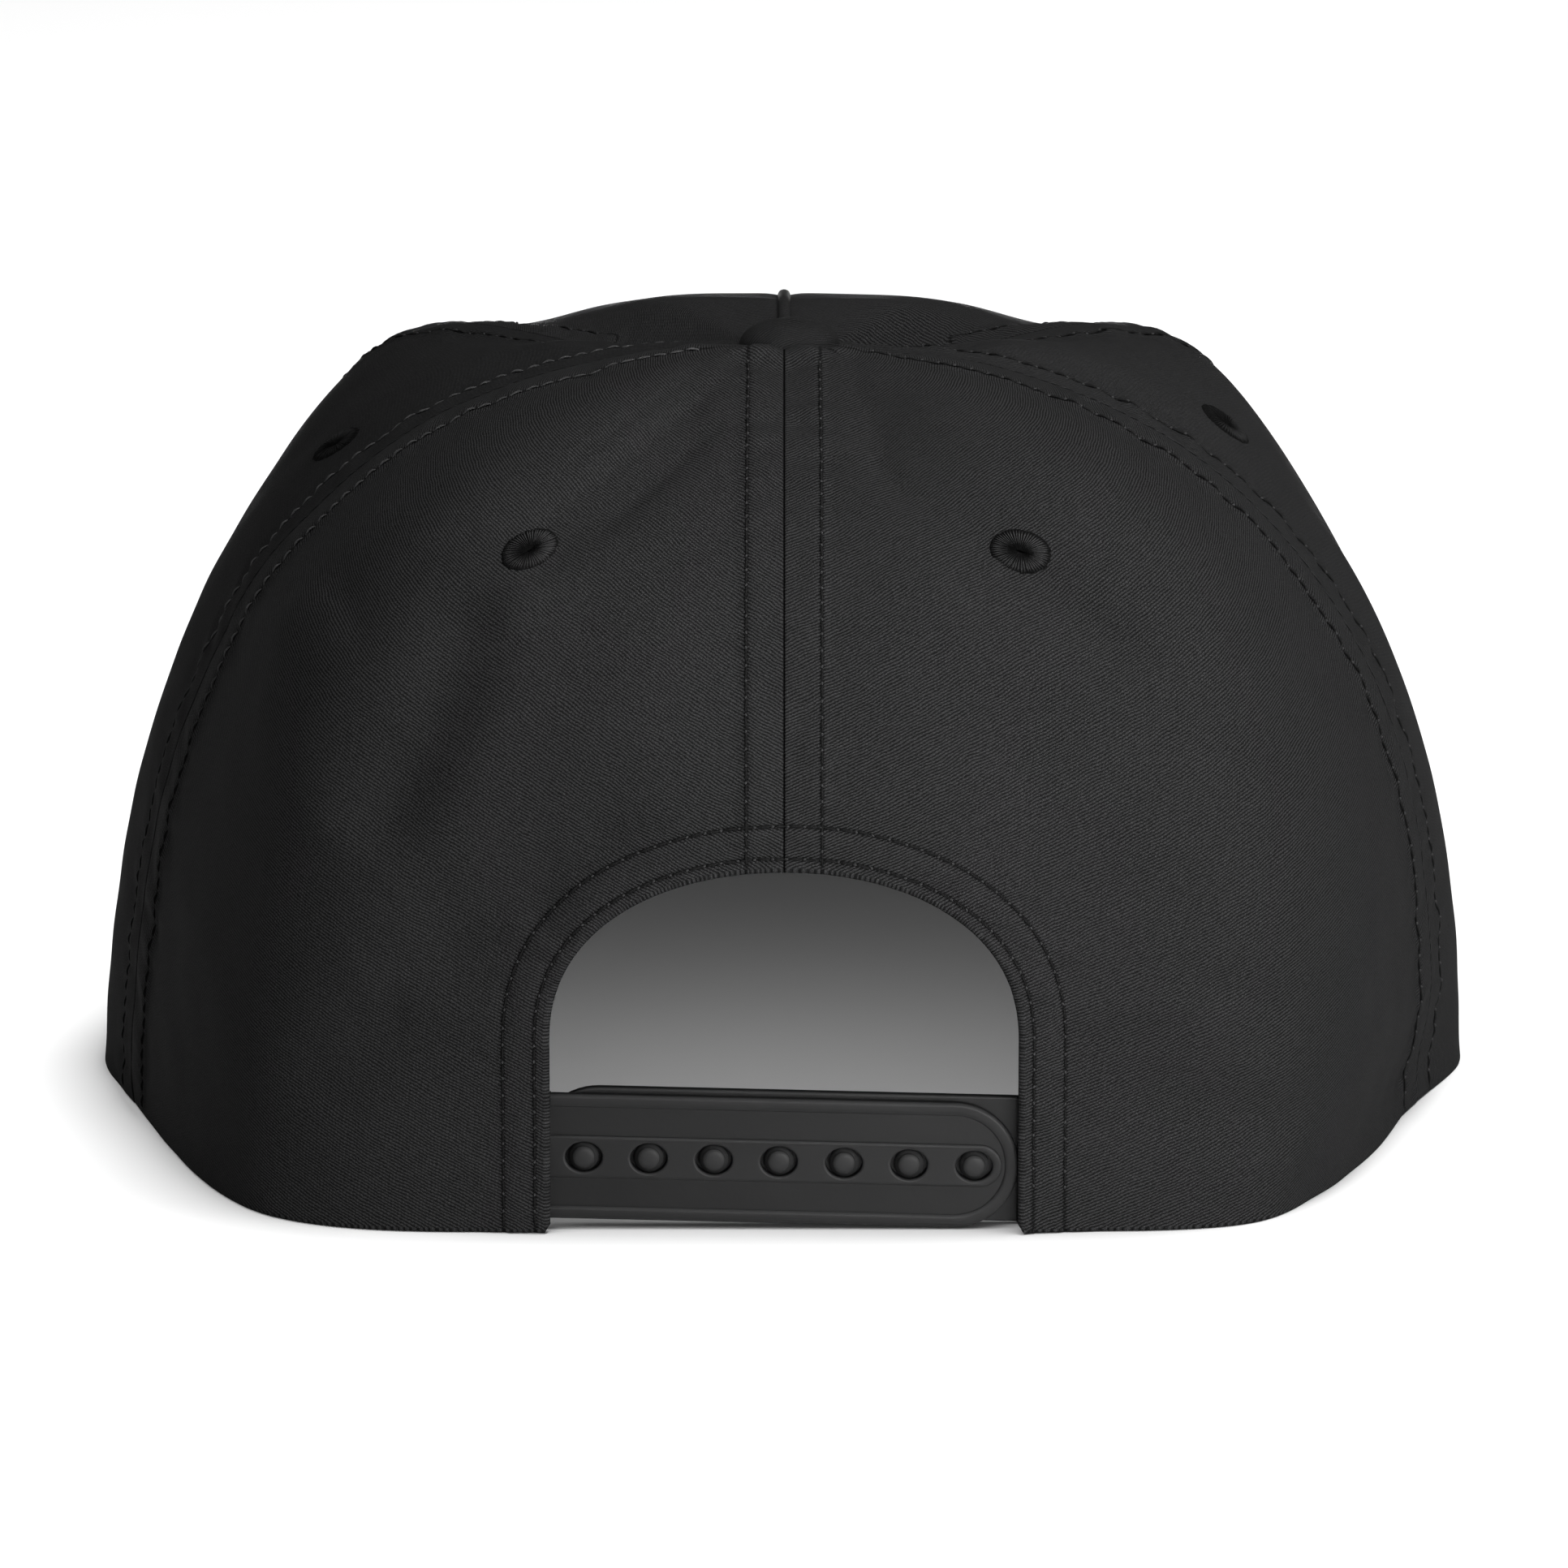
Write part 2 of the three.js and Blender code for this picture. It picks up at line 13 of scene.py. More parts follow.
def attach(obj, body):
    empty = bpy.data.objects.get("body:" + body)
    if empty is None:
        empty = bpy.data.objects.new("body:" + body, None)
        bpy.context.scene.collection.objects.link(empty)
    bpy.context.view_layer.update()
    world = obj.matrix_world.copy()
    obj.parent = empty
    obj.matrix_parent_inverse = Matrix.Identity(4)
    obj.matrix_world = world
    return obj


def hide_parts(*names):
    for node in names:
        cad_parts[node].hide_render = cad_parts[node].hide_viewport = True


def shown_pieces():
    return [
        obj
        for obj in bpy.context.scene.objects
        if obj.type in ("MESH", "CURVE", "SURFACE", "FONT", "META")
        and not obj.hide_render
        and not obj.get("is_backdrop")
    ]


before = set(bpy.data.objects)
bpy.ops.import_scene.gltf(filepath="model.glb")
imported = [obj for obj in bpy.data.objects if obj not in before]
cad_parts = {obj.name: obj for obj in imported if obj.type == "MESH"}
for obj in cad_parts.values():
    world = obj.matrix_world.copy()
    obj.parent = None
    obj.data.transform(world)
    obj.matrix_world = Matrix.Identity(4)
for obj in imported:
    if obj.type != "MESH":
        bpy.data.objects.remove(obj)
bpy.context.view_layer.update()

MM = 0.001
WALL = 1.2

# Crown: each rib runs from the rim to the top in one upright plane
CROWN_TOP = 111
TOP_Y = 3.7
# rim_x, rim_y, rim_z, lean, rise, reach, brow
RIBS = np.array([
    (0, -68.6, 0, 0.96, 63, 1.03, 95.5),
    (34, -69.3, 0, 0.95, 62, 0.98, 103),
    (74, -60.5, 0, 0.935, 61, 0.94, 110),
    (94.2, -13, 0, 0.98, 53, 0.88, 110),
    (99, 17, 0, 0.95, 95, 0.55, 114),
    (81, 56, 6.5, 0.78, 133, 0.73, 91),
    (43.5, 76, 16.5, 0.76, 60, 1.2, 108),
    (0, 82, 20.5, 0.84, 60, 1.05, 111),
], float)
HALF_RIBS = len(RIBS) - 1
RIB_COUNT = 2 * HALF_RIBS
DIMPLE_DEPTH = 1
DIMPLE_R = 7
COLLAR_HEIGHT = 1
COLLAR_R = 8.5
COLLAR_WIDTH = 3

# Peak, which sets the middle of the cap's length
PEAK_LENGTH = 68
PEAK_TIP_Y = RIBS[HALF_RIBS, 1] + PEAK_LENGTH
BACK_Y = RIBS[1, 1]
OFFSET_Y = -(BACK_Y + PEAK_TIP_Y) / 2

# Dents of the back of the crown: from (x1, z1) to (x2, z2) seen from behind, width, depth
FOLDS = np.array([
    (-14, 104, -60, 84, 4.5, 1.5),
    (-45, 82, -54, 58, 6, 1.8),
    (-70, 76, -66, 60, 7, -0.6),
    (-26, 56, -46, 46, 5.5, 1.3),
    (-46, 36, -64, 22, 7, 1.5),
    (14, 103, 46, 82, 5.5, 1.4),
    (46, 82, 70, 66, 7, 0.8),
    (52, 19, 70, 14, 5, 1.2),
    (78, 0, 90, 4, 9, 3.4),
    (90, 62, 92, 46, 18, -1.2),
], float)
FOLD_FADE_START_Y = -5
FOLD_FADE_END_Y = 25

# Finer creases: from (x1, y1) to (x2, y2) in the camera's plane, width, depth
CREASES = np.array([
    (-7, 60, -36, 38, 1.5, 0.4),
    (-10.5, 61.5, -32, 46.5, 0.9, 0.2),
    (-8.6, 53.5, -28, 36, 1.2, 0.25),
    (-14, 50, -38, 30, 3, 0.35),
    (-36, 34.5, -80, 22, 4, -0.5),
    (-44, 38, -66, 26, 3, 0.6),
    (-36.3, 17.9, -58, -16, 5.5, -0.8),
    (-37.7, 29, -40.7, 21.3, 3, -0.5),
    (-54, 6, -65, -7, 6, 0.6),
    (-30.8, -15.1, -60.7, -27.6, 5, 1.0),
    (-28.5, -13.1, -36.2, -20.7, 4, 0.5),
    (-56, -33, -40.7, -31, 4, -0.6),
    (9, 62, 17, 40, 2.2, 0.35),
    (12, 48, 30, 33, 2.4, 0.4),
    (27, 36, 60, 12, 3.2, 0.6),
    (50, 20, 78, 8, 4.5, 0.4),
    (-32, 22, -8, 40, 5, 0.4),
    (18, 20, 40, -6, 6, 0.4),
    (40.3, -38.3, 58.6, -35.2, 2.2, 0.5),
    (42, -33, 60, -31, 2.2, -0.3),
    (60, -30, 81.5, -30.7, 3, 0.5),
    (-36.9, -20, -30.8, -23, 0.9, 0.35),
    (-38.9, -23.8, -32.8, -26.4, 0.9, 0.35),
    (-39.5, -27.9, -33.1, -29.7, 0.9, 0.3),
    (4, 68, 14, 66, 0.9, 0.35),
    (5, 65.5, 20, 62, 1, 0.3),
], float)

# The cloth sinks behind the back panels' upper edge, around the button
DIP_DEPTH = 3.3
DIP_HALF_WIDTH = 22
DIP_SLOPE = 0.177
DIP_START = (-4.5, 4)
DIP_END = (14, 34)
DIP_SPREAD = 0.9
DIP_SPREAD_Y = 5
DIP_POWER = 2.5
CREST_LINE = 62.9
CREST_END_Y = (6, 12)
CREST_END_X = (24, 34)

# Soft unevenness of the cloth: height, wavelength, seed
DRAPE = ((0.16, 42, 5), (0.05, 13, 6))

# Twill, and the height in metres above which the left seam's thread is painted light as a highlight
TWILL_PITCH = 0.42
YARN_LENGTH = 0.55
YARN_STAGGER = 0.37
HIGHLIGHT_THREAD_Z = 0.056
THREAD_FADE = 0.014

# Arched opening
ARCH_HALF_WIDTH = 32.7
ARCH_SPRING = 28
ARCH_TOP = 51.6
ARCH_POWER = 2.2
ARCH_FOOT = 10
ARCH_FAR = 30
ARCH_POINTS = 241
ARCH_FINE_POINTS = 721
HEM_ROLL = 0.8
HEM_ROWS = (2.1, 6.5)
HEM_PUFF = 0.35
HEM_GROOVE = 0.25
HEM_GROOVE_WIDTH = 0.6
HEM_WRINKLE = (0.12, 6, 31)
HEM_WRINKLE_END = (6, 13)

# Seams: rows of stitches on both sides of each, with the doubled cloth between them raised
SEAM_ROW = 5.3
WELT_HEIGHT = 0.5
WELT_EDGE = 1.2
ROW_GROOVE = 0.28
ROW_GROOVE_WIDTH = 0.5
# Half widths in mm of the painted shade along the stitch rows and in the seam
ROW_SHADE_WIDTH = 0.25
SEAM_SHADE_WIDTH = 0.12
SEAM_ROLL = 0.35
PUCKER_HEIGHT = 0.07
PUCKER_WIDTH = 2.2
PUCKER_SLANT = 0.8
WRINKLE_HEIGHT = 0.13
WRINKLE_LENGTH = 6
WRINKLE_END = (5, 12)
TAPE_THICKNESS = 0.5
TAPE_EDGE = (5.6, 6.4)
RIGHT_EDGE_T = 1.1

# Stitches, whose rows end at a radius from the button; between two of them a speck of the loop shows,
# painted lighter than the thread as a glint
STITCH_PITCH = 2.4
STITCH_LENGTH = 1.95
BETWEEN_STITCHES = (STITCH_LENGTH + STITCH_PITCH) / 2
THREAD_R = 0.17
THREAD_BASE = 0.04
THREAD_TAPER = (0.06, 0.94)
SEAM_LIFT = 0.15
LEFT_LIFT = 0.17
HEM_LIFT = 0.13
SPECK_LENGTH = 0.4
SPECK_LIFT = 0.12
BACK_ROWS_R = 6.6
SIDE_ROWS_R = 8.5
FRONT_ROWS_R = 31
FRONT_ROWS_SINK = 0.12
FRONT_SEAMS = (5, 9)
FRONT_FADE_SLOPE = 0.13
FRONT_FADE_SHIFT = 20
FRONT_FADE_R = (25, 33)
ROW_MARGIN = 0.3
STITCH_SLIP = 0.12
STITCH_SKEW = 0.09
THREAD_RINGS = 6
THREAD_SIDES = 6
ROW_POINTS = 700
ROW_REACH = 1.9
ROW_REACH_POINTS = 110
ROWS_FROM_ARCH = 1.0
HEM_ROWS_FROM_Z = 0.8

# Grid of a panel
V_START = 0.006
V_END = 0.985
RUN_POINTS = 600
SEAM_FAR = 50.0
ROW_STEP = 0.8
COLUMN_STEP = 1.0
RIM_ROLL = 0.6
SEAM_STEPS = np.array([0, 0.1, 0.25, 0.45, 0.8, 1.5, 2.4, 3.3, 4.1, 4.7, 5.05, 5.3, 5.55, 5.9, 6.4, 7.2])
PINCH_STEPS = np.array([0, 0.22, 0.44, 0.62, 0.76, 0.86, 0.93, 1.0, 1.3, 1.8, 2.6, 3.6])
PINCH_R = 0.9
PINCH_SINK = 0.35
PINCH_BOTTOM_V = 0.36
PINCH_TOP_V = 0.955
PINCH_FADE_V = 0.05
PINCH_CUT_V = 0.01
PINCH_FOOT = 1.7

SEAMS = (0, 3, 5, 9, 11)

# Panels: the node replaced, ribs at their seams and pinch, angle of the twill, how light the colour is
# (below 1 for the left side panel: painted shade of the side that the lights miss)
PANELS = {
    "back_right": ("back_panel_right", (0, 3), 22, 1),
    "side_right": ("side_panel_right", (3, 5), 82, 1),
    "front": ("front_panel", (5, 7, 9), 24, 1),
    "side_left": ("side_panel_left", (9, 11), -82, 0.72),
    "back_left": ("back_panel_left", (11, 14), -27, 1),
}

# Eyelets: along the ribs, up them, tilt in degrees, height over width
EYELETS = {
    "eyelet_back_right": (1.348, 0.6605, -34, 0.74),
    "eyelet_back_left": (12.563, 0.661, 50, 0.72),
    "eyelet_side_right": (3.945, 0.545, 60, 0.8),
    "eyelet_side_left": (10.285, 0.566, -62, 0.6),
}
EYELET_R = 4.4
EYELET_SLOT = 0.7
EYELET_SLOT_HEIGHT = 0.12
EYELET_HEIGHT = 0.68
EYELET_CUT_R = 1.4
EYELET_THREADS = 54
EYELET_THREAD_STEPS = 6
EYELET_SIDES = 20
EYELET_RIB = 0.24
EYELET_SINK = 0.2
EYELET_SEED = 50
# How much the threads differ in reach, height and place around
EYELET_SPREADS = (0.05, 0.06, 0.012)

BUTTON_R = 7.25
BUTTON_HEIGHT = 3.7
BUTTON_BASE = 109.2
BUTTON_X = 0.8
BUTTON_SKIRT = 1.6
BUTTON_SIDES = 96
BUTTON_RINGS = 26
BUTTON_ROUNDNESS = 0.82
BUTTON_TUCK = 0.5
BUTTON_PUFF = (0.05, 5, 9)

# Sweatband
BAND_FROM = 1.17
BAND_TO = RIB_COUNT - BAND_FROM
BAND_TOP_V = 0.19
BAND_THICKNESS = 1
BAND_GAP = 0.6
BAND_STRAP_CLEARANCE = 2.2
BAND_CLEAR_END = (0.25, 0.8)
BAND_PUFF = (0.12, 12, 77)
BAND_COLUMNS = 420
BAND_LEVELS = 26
BAND_STITCH_LEVELS = (3, 22)
BAND_LIFT = 0.2
BAND_ROLL = (0.4, 0.5)

# Rough sizes of one step of u and v
BAND_RIB_WIDTH = 38
CROWN_RUN = 150

# Peak
PEAK_FROM = 4.72
PEAK_TO = RIB_COUNT - PEAK_FROM
PEAK_THICKNESS = 2.6
PEAK_HALF_WIDTH = 92
PEAK_POWER = 2.5
PEAK_ROOT_Y = 66
PEAK_CROWN_Z = 20.5
PEAK_ARCH = 17.2
PEAK_DROP = 2.2
PEAK_GAP = 0.3
PEAK_SEAM_RISE = 0.7
PEAK_COLUMNS = 260
PEAK_EDGE_SHARE = 0.03
PEAK_ROWS = (4, 11, 18, 25, 32, 39)
PEAK_GROOVE = 0.22
PEAK_GROOVE_WIDTH = 0.8
PEAK_STITCH = {"lift": 0.15, "length": 2.1, "pitch": 2.7}

# Snap strap
STRAP_HEIGHT = 18
STRAP_THICKNESS = 1.7
STRAP_RELIEF = 0.5
STRAP_BORDER = 1.9
STRAP_BAND = 6.1
BAND_END_GAP = 0.4
PLATE_INSET = 0.3
PLATE_BEVEL = 0.1
BORDER_BEVEL = 0.55
BAND_BEVEL = 0.36
BAND_ROOT = 0.6
UNDER_BEVEL = 0.35
STRAP_CENTRE_Z = 9.8
STRAP_TILT = np.radians(1.4)
STRAP_LEAN = np.radians(4.2)
STRAP_FACE_Y = -66.85
HOLE_COUNT = 7
HOLE_PITCH = 9.1
FIRST_HOLE_X = -28
HOLE_HALF_WIDTH = 2.6
HOLE_HALF_HEIGHT = 2.15
HOLE_POINTS = 32
END_POINTS = 29
BEVEL_STEPS = 4
PEG_R = 1.6
PEG_PROUD = 0.3
PEG_COLLAR_R = 2.05
PEG_COLLAR_Y = 0.55
PEG_DOME_Y = 0.12
PEG_ROOT = 0.2
PEG_SIDES = 24
# Tones of the strap's plastic: the raised band and border painted lighter than the recessed channel,
# whose darkness is painted shade
CHANNEL_TONE = 0.02
RAISED_PAINTED_LIGHT = 0.14
# Painted light: the collar in each hole lighter against the hole's shade, the peg domes lighter as a
# painted sheen
COLLAR_PAINTED_LIGHT = 0.75
PEG_SHEEN_TONE = 0.5
# Painted highlight along the rounded edges of the strap
EDGE_HIGHLIGHT_TONE = 1.0
HOLES_END_X = 32.8
PEGS_END_X = -35
PEGS_RISE = 0.6
TAIL_BEND_X = 35.2
TAIL_LINK = 2.4
TAIL_END_X = 46
TAIL_TURN = 0.9
TAIL_COUNT = 24
STRAP_GAP = 0.3

# Camera
CAMERA_DISTANCE = 1500
CAMERA_ELEVATION = np.radians(17)
CAMERA_TARGET_Z = 44.6
PIXELS_PER_MM = 8.5
PHOTO_SIZE = 1932
SENSOR = 36
CAMERA_CLIP = (0.05, 50)

# Lights in mm: position, target, size, watts, what they light, spread in degrees
LIGHTS = {
    "key": ((109, -340, 78), (0, -40, 50), (160, 160), 2.1, "cap", 180),
    "centre_light": ((40, -400, 150), (16, -60, 66), (60, 200), 0.05, "cap", 24),
    "right_light": ((237, -253, 78), (0, -40, 50), (160, 160), 0.88, "cap", 180),
    "top_right": ((135, -40, 340), (0, -40, 50), (150, 150), 1.1, "cap", 180),
    "top_left": ((-117, -108, 340), (0, -40, 50), (150, 150), 0.8, "cap", 180),
    "side_light": ((1273, -40, 1323), (0, -40, 50), (900, 900), 21, "cap", 180),
    "front_light": ((0, 400, 40), (0, 40, 50), (240, 40), 1.8, "cap", 180),
    "floor_light": ((350, 100, 1700), (0, 0, 0), (700, 700), 36, "ground", 180),
    "floor_fill": ((-600, -700, 1500), (0, 0, 0), (1400, 1400), 16, "ground", 180),
    "inner_light": ((0, -24, 78), (0, -24, 0), (110, 64), 0.026, "ground", 180),
}
WORLD_STRENGTH = 0.15
FLOOR_HALF = 8


def place(points):
    """Points in mm of the crown's frame as metres of the part's frame."""
    return (np.asarray(points, float) + (0, OFFSET_Y, 0)) * MM


def smoothstep(x, low, high):
    t = np.clip((x - low) / (high - low), 0, 1)
    return t * t * (3 - 2 * t)


def hump(x, width):
    return np.exp(-((x / width) ** 2))


def unit(vectors):
    return vectors / np.maximum(np.linalg.norm(vectors, axis=-1, keepdims=True), 1e-9)


def around(count):
    """Even angles around a circle."""
    return 2 * np.pi * np.arange(count) / count


def vectors(x, y, z):
    """One list of vectors from coordinates that are broadcast to the same shape."""
    return np.stack(np.broadcast_arrays(x, y, z), -1).reshape(-1, 3)


def squared_off(value, power):
    """A sine or cosine turned into that of a rounded rectangle."""
    return np.sign(value) * np.abs(value) ** (2 / power)


def lengths_along(points):
    """Length run from the first point, along the first axis of an array of points."""
    steps = np.linalg.norm(np.diff(points, axis=0), axis=-1)
    return np.concatenate([np.zeros((1,) + steps.shape[1:]), np.cumsum(steps, axis=0)])


def sampled(at, run, values):
    """Vectors along a line, at lengths between those of its points."""
    return np.stack([np.interp(at, run, row) for row in values.T], -1)


def cubic(t, a, b, c, d):
    s = 1 - t
    return s**3 * a + 3 * s * s * t * b + 3 * s * t * t * c + t**3 * d


def rib_point(index, v):
    turn = np.mod(index, RIB_COUNT)
    mirrored = turn > HALF_RIBS
    row = RIBS[np.where(mirrored, RIB_COUNT - turn, turn)]
    rim_x, rim_y, rim_z, lean, rise, reach, brow = np.moveaxis(row, -1, 0)
    out = cubic(v, 1, lean, reach, 0)
    x = np.where(mirrored, -rim_x, rim_x) * out
    y = TOP_Y + (rim_y - TOP_Y) * out
    return np.stack([x, y, cubic(v, rim_z, rim_z + rise, brow, CROWN_TOP)], -1)


def crown_point(u, v):
    """The crown's plain surface, u along the ribs and v up them."""
    u, v = np.broadcast_arrays(np.asarray(u, float), np.asarray(v, float))
    first = np.floor(u).astype(int)
    f = (u - first)[..., None]
    before, start, end, after = (rib_point(first + step, v) for step in (-1, 0, 1, 2))
    point = (2 * f**3 - 3 * f**2 + 1) * start + (f**3 - 2 * f**2 + f) * (end - before) / 2
    point += (3 * f**2 - 2 * f**3) * end + (f**3 - f**2) * (after - start) / 2
    radius = np.hypot(point[..., 0], point[..., 1] - TOP_Y)
    point[..., 2] -= DIMPLE_DEPTH * hump(radius, DIMPLE_R)
    point[..., 2] += COLLAR_HEIGHT * hump(radius - COLLAR_R, COLLAR_WIDTH)
    return point


def crown_normal(u, v):
    tangent = crown_point(u + 0.02, v) - crown_point(u - 0.02, v)
    up = crown_point(u, v + 0.004) - crown_point(u, v - 0.004)
    return unit(np.cross(tangent, up))


def dents(seen, table, tapered=False):
    """Depth of the dents of a table at points of its plane."""
    depth = 0
    for x1, y1, x2, y2, width, deep in table:
        start = np.array([x1, y1])
        run = np.array([x2, y2]) - start
        share = np.clip((seen - start) @ run / (run @ run), 0, 1)
        gap = np.linalg.norm(seen - start - share[..., None] * run, axis=-1)
        ends = np.sqrt(4 * share * (1 - share)) if tapered else 1
        depth = depth + deep * ends * hump(gap, width)
    return depth


def on_camera_plane(point):
    x, y, z = np.moveaxis(point, -1, 0)
    up, into = np.cos(CAMERA_ELEVATION), np.sin(CAMERA_ELEVATION)
    scale = CAMERA_DISTANCE / (CAMERA_DISTANCE - (z - CAMERA_TARGET_Z) * into + y * up)
    return np.stack([x, (z - CAMERA_TARGET_Z) * up + y * into], -1) * scale[..., None]


def fold_depth(point):
    x, y, _ = np.moveaxis(point, -1, 0)
    fade = 1 - smoothstep(y, FOLD_FADE_START_Y, FOLD_FADE_END_Y)
    seen = on_camera_plane(point)
    depth = fade * (dents(point[..., [0, 2]], FOLDS) + dents(seen, CREASES, tapered=True))
    beyond = smoothstep(y - TOP_Y + DIP_SLOPE * np.abs(x), *DIP_START) * (1 - smoothstep(y, *DIP_END))
    half_width = DIP_HALF_WIDTH + DIP_SPREAD * np.clip(y - DIP_SPREAD_Y, 0, None)
    depth = depth + DIP_DEPTH * beyond * np.exp(-((np.abs(x) / half_width) ** DIP_POWER))
    near_top = (1 - smoothstep(y, *CREST_END_Y)) * (1 - smoothstep(np.abs(x), *CREST_END_X))
    return depth + near_top * np.clip(seen[..., 1] - depth - CREST_LINE, 0, None)


def ripple(points, wavelength, seed, count=14):
    """A smooth random field of about unit height."""
    rng = np.random.default_rng(seed)
    direction = unit(rng.normal(size=(count, points.shape[-1])))
    stretch = rng.uniform(0.7, 1.4, (count, 1))
    phase = rng.uniform(0, 2 * np.pi, count)
    turn = points @ (direction * 2 * np.pi / (wavelength * stretch)).T
    return np.cos(turn + phase).sum(-1) / np.sqrt(count / 2)


def waves(points, height, wavelength, seed):
    return height * ripple(points, wavelength, seed)


def arch_line(count=ARCH_POINTS):
    """The opening's edge as points (x, z), from its left foot over the top to its right foot."""
    angle = np.linspace(np.pi, 0, ARCH_FINE_POINTS)
    x = ARCH_HALF_WIDTH * squared_off(np.cos(angle), ARCH_POWER)
    z = ARCH_SPRING + (ARCH_TOP - ARCH_SPRING) * squared_off(np.abs(np.sin(angle)), ARCH_POWER)
    foot = (ARCH_HALF_WIDTH, -ARCH_FOOT)
    line = np.concatenate([[(-foot[0], foot[1])], np.column_stack([x, z]), [foot]])
    run = lengths_along(line)
    return sampled(np.linspace(0, run[-1], count), run, line)


def arch_distance(points):
    """How far points lie outside the opening's edge seen from behind, and the way to that edge."""
    line = arch_line()
    start, run = line[:-1], np.diff(line, axis=0)
    flat = points.reshape(-1, 3)
    seen = flat[:, [0, 2]]
    distance = np.full(len(seen), float(ARCH_FAR))
    toward = np.zeros((len(seen), 3))
    near = (np.abs(seen[:, 0]) < ARCH_HALF_WIDTH + ARCH_FAR) & (seen[:, 1] < ARCH_TOP + ARCH_FAR)
    back = (flat[:, 1] < 0) & near
    for chunk in np.array_split(np.flatnonzero(back), max(1, back.sum() // 2000)):
        offset = seen[chunk, None] - start
        share = np.clip((offset * run).sum(-1) / (run * run).sum(-1), 0, 1)
        way = share[..., None] * run - offset
        gap = np.linalg.norm(way, axis=-1)
        best = gap.argmin(1)
        rows = np.arange(len(chunk))
        x, z = seen[chunk].T
        above = np.abs(x / ARCH_HALF_WIDTH) ** ARCH_POWER + (
            np.abs((z - ARCH_SPRING) / (ARCH_TOP - ARCH_SPRING)) ** ARCH_POWER)
        inside = np.where(z > ARCH_SPRING, above < 1, np.abs(x) < ARCH_HALF_WIDTH)
        distance[chunk] = np.where(inside, -1, 1) * gap[rows, best]
        outward = np.where(inside, -1, 1) / np.maximum(gap[rows, best], 1e-6)
        toward[chunk[:, None], [0, 2]] = way[rows, best] * outward[:, None]
    return distance.reshape(points.shape[:-1]), toward.reshape(points.shape)


def seam_height(d, t, seed):
    """How far the cloth stands up at d mm from a seam, t mm up it."""
    welt = WELT_HEIGHT * (1 - smoothstep(d, SEAM_ROW, SEAM_ROW + WELT_EDGE))
    groove = ROW_GROOVE * hump(d - SEAM_ROW, ROW_GROOVE_WIDTH)
    roll = SEAM_ROLL * (1 - np.sqrt(1 - np.clip(1 - d / SEAM_ROLL, 0, 1) ** 2))
    near = hump(d - SEAM_ROW, PUCKER_WIDTH)
    pucker = PUCKER_HEIGHT * near * np.sin(2 * np.pi * (t + PUCKER_SLANT * d) / STITCH_PITCH)
    slanted = np.stack([0.5 * np.minimum(d, WRINKLE_END[1]) + 0.3 * t, t], -1)
    wrinkle = WRINKLE_HEIGHT * ripple(slanted, WRINKLE_LENGTH, seed)
    wrinkle = wrinkle * (1 - smoothstep(d, *WRINKLE_END)) * smoothstep(d, 0, 2)
    return (welt - groove + pucker + wrinkle) * smoothstep(t, -1, 5) - roll


def hem_height(phi, point):
    rows = sum(hump(phi - row, HEM_GROOVE_WIDTH) for row in HEM_ROWS)
    puff = HEM_PUFF * (1 - smoothstep(phi, HEM_ROWS[1] - 1, HEM_ROWS[1] + 1))
    wrinkle = waves(point, *HEM_WRINKLE) * (1 - smoothstep(phi, *HEM_WRINKLE_END))
    return np.where(phi < ARCH_FAR - 1, puff - HEM_GROOVE * rows + wrinkle, 0)


def cloth_drape(point):
    return sum(waves(point, *row) for row in DRAPE)


def outer_point(u, v, d, t, phi, seed, extra=0):
    """The cloth's outer face."""
    point = crown_point(u, v)
    height = seam_height(d, t, seed) + hem_height(phi, point) + cloth_drape(point) + extra
    return point + crown_normal(u, v) * (height - fold_depth(point))[..., None]


def inner_point(u, v, d):
    point = crown_point(u, v)
    tape = TAPE_THICKNESS * (1 - smoothstep(d, *TAPE_EDGE))
    depth = WALL + fold_depth(point) - cloth_drape(point) + tape
    return point - crown_normal(u, v) * depth[..., None]


def row_heights():
    """Shares up the ribs at equal steps of length."""
    v = np.linspace(0, V_END, RUN_POINTS)
    run = lengths_along(crown_point(1.5, v))
    count = round((run[-1] - RIM_ROLL) / ROW_STEP)
    return np.interp(np.linspace(RIM_ROLL, run[-1], count + 1), run, v)


def is_seam(rib):
    return rib % RIB_COUNT in SEAMS


def span_columns(start, end, rows):
    """u of each column in each row between two ribs of the crown, with the distance from both."""
    left, right = (SEAM_STEPS if is_seam(rib) else PINCH_STEPS for rib in (start, end))
    fine = np.linspace(start, end, 160)
    points = crown_point(fine[:, None], rows[None])
    run = lengths_along(points)
    width = run[-1]
    square = []
    for edge, step in ((0, 1), (-1, -2)):
        along = unit(points[step] - points[edge])
        up = unit(np.gradient(points[edge], axis=0))
        square.append(np.linalg.norm(np.cross(along, up), axis=-1))
    left_s = left[:, None] / square[0]
    right_s = right[::-1, None] / square[1]
    shrink = np.minimum(1, 0.9 * width / (left_s[-1] + right_s[0]))
    left_s, right_s = left_s * shrink, width - right_s * shrink
    count = max(2, round((width.max() - left[-1] - right[-1]) / COLUMN_STEP))
    share = np.linspace(0, 1, count + 1)[1:-1, None]
    middle = left_s[-1] * (1 - share) + right_s[0] * share
    s = np.concatenate([left_s, middle, right_s])
    u = np.stack([np.interp(s[:, j], run[:, j], fine) for j in range(len(rows))], 1)
    return u, s, width, s * square[0], (width - s) * square[1]


def grid_faces(columns, rows):
    """Faces of a grid of points in columns of rows."""
    i, j = np.meshgrid(np.arange(columns - 1), np.arange(rows - 1), indexing="ij")
    a = (i * rows + j).ravel()
    return np.stack([a, a + rows, a + rows + 1, a + 1], 1)


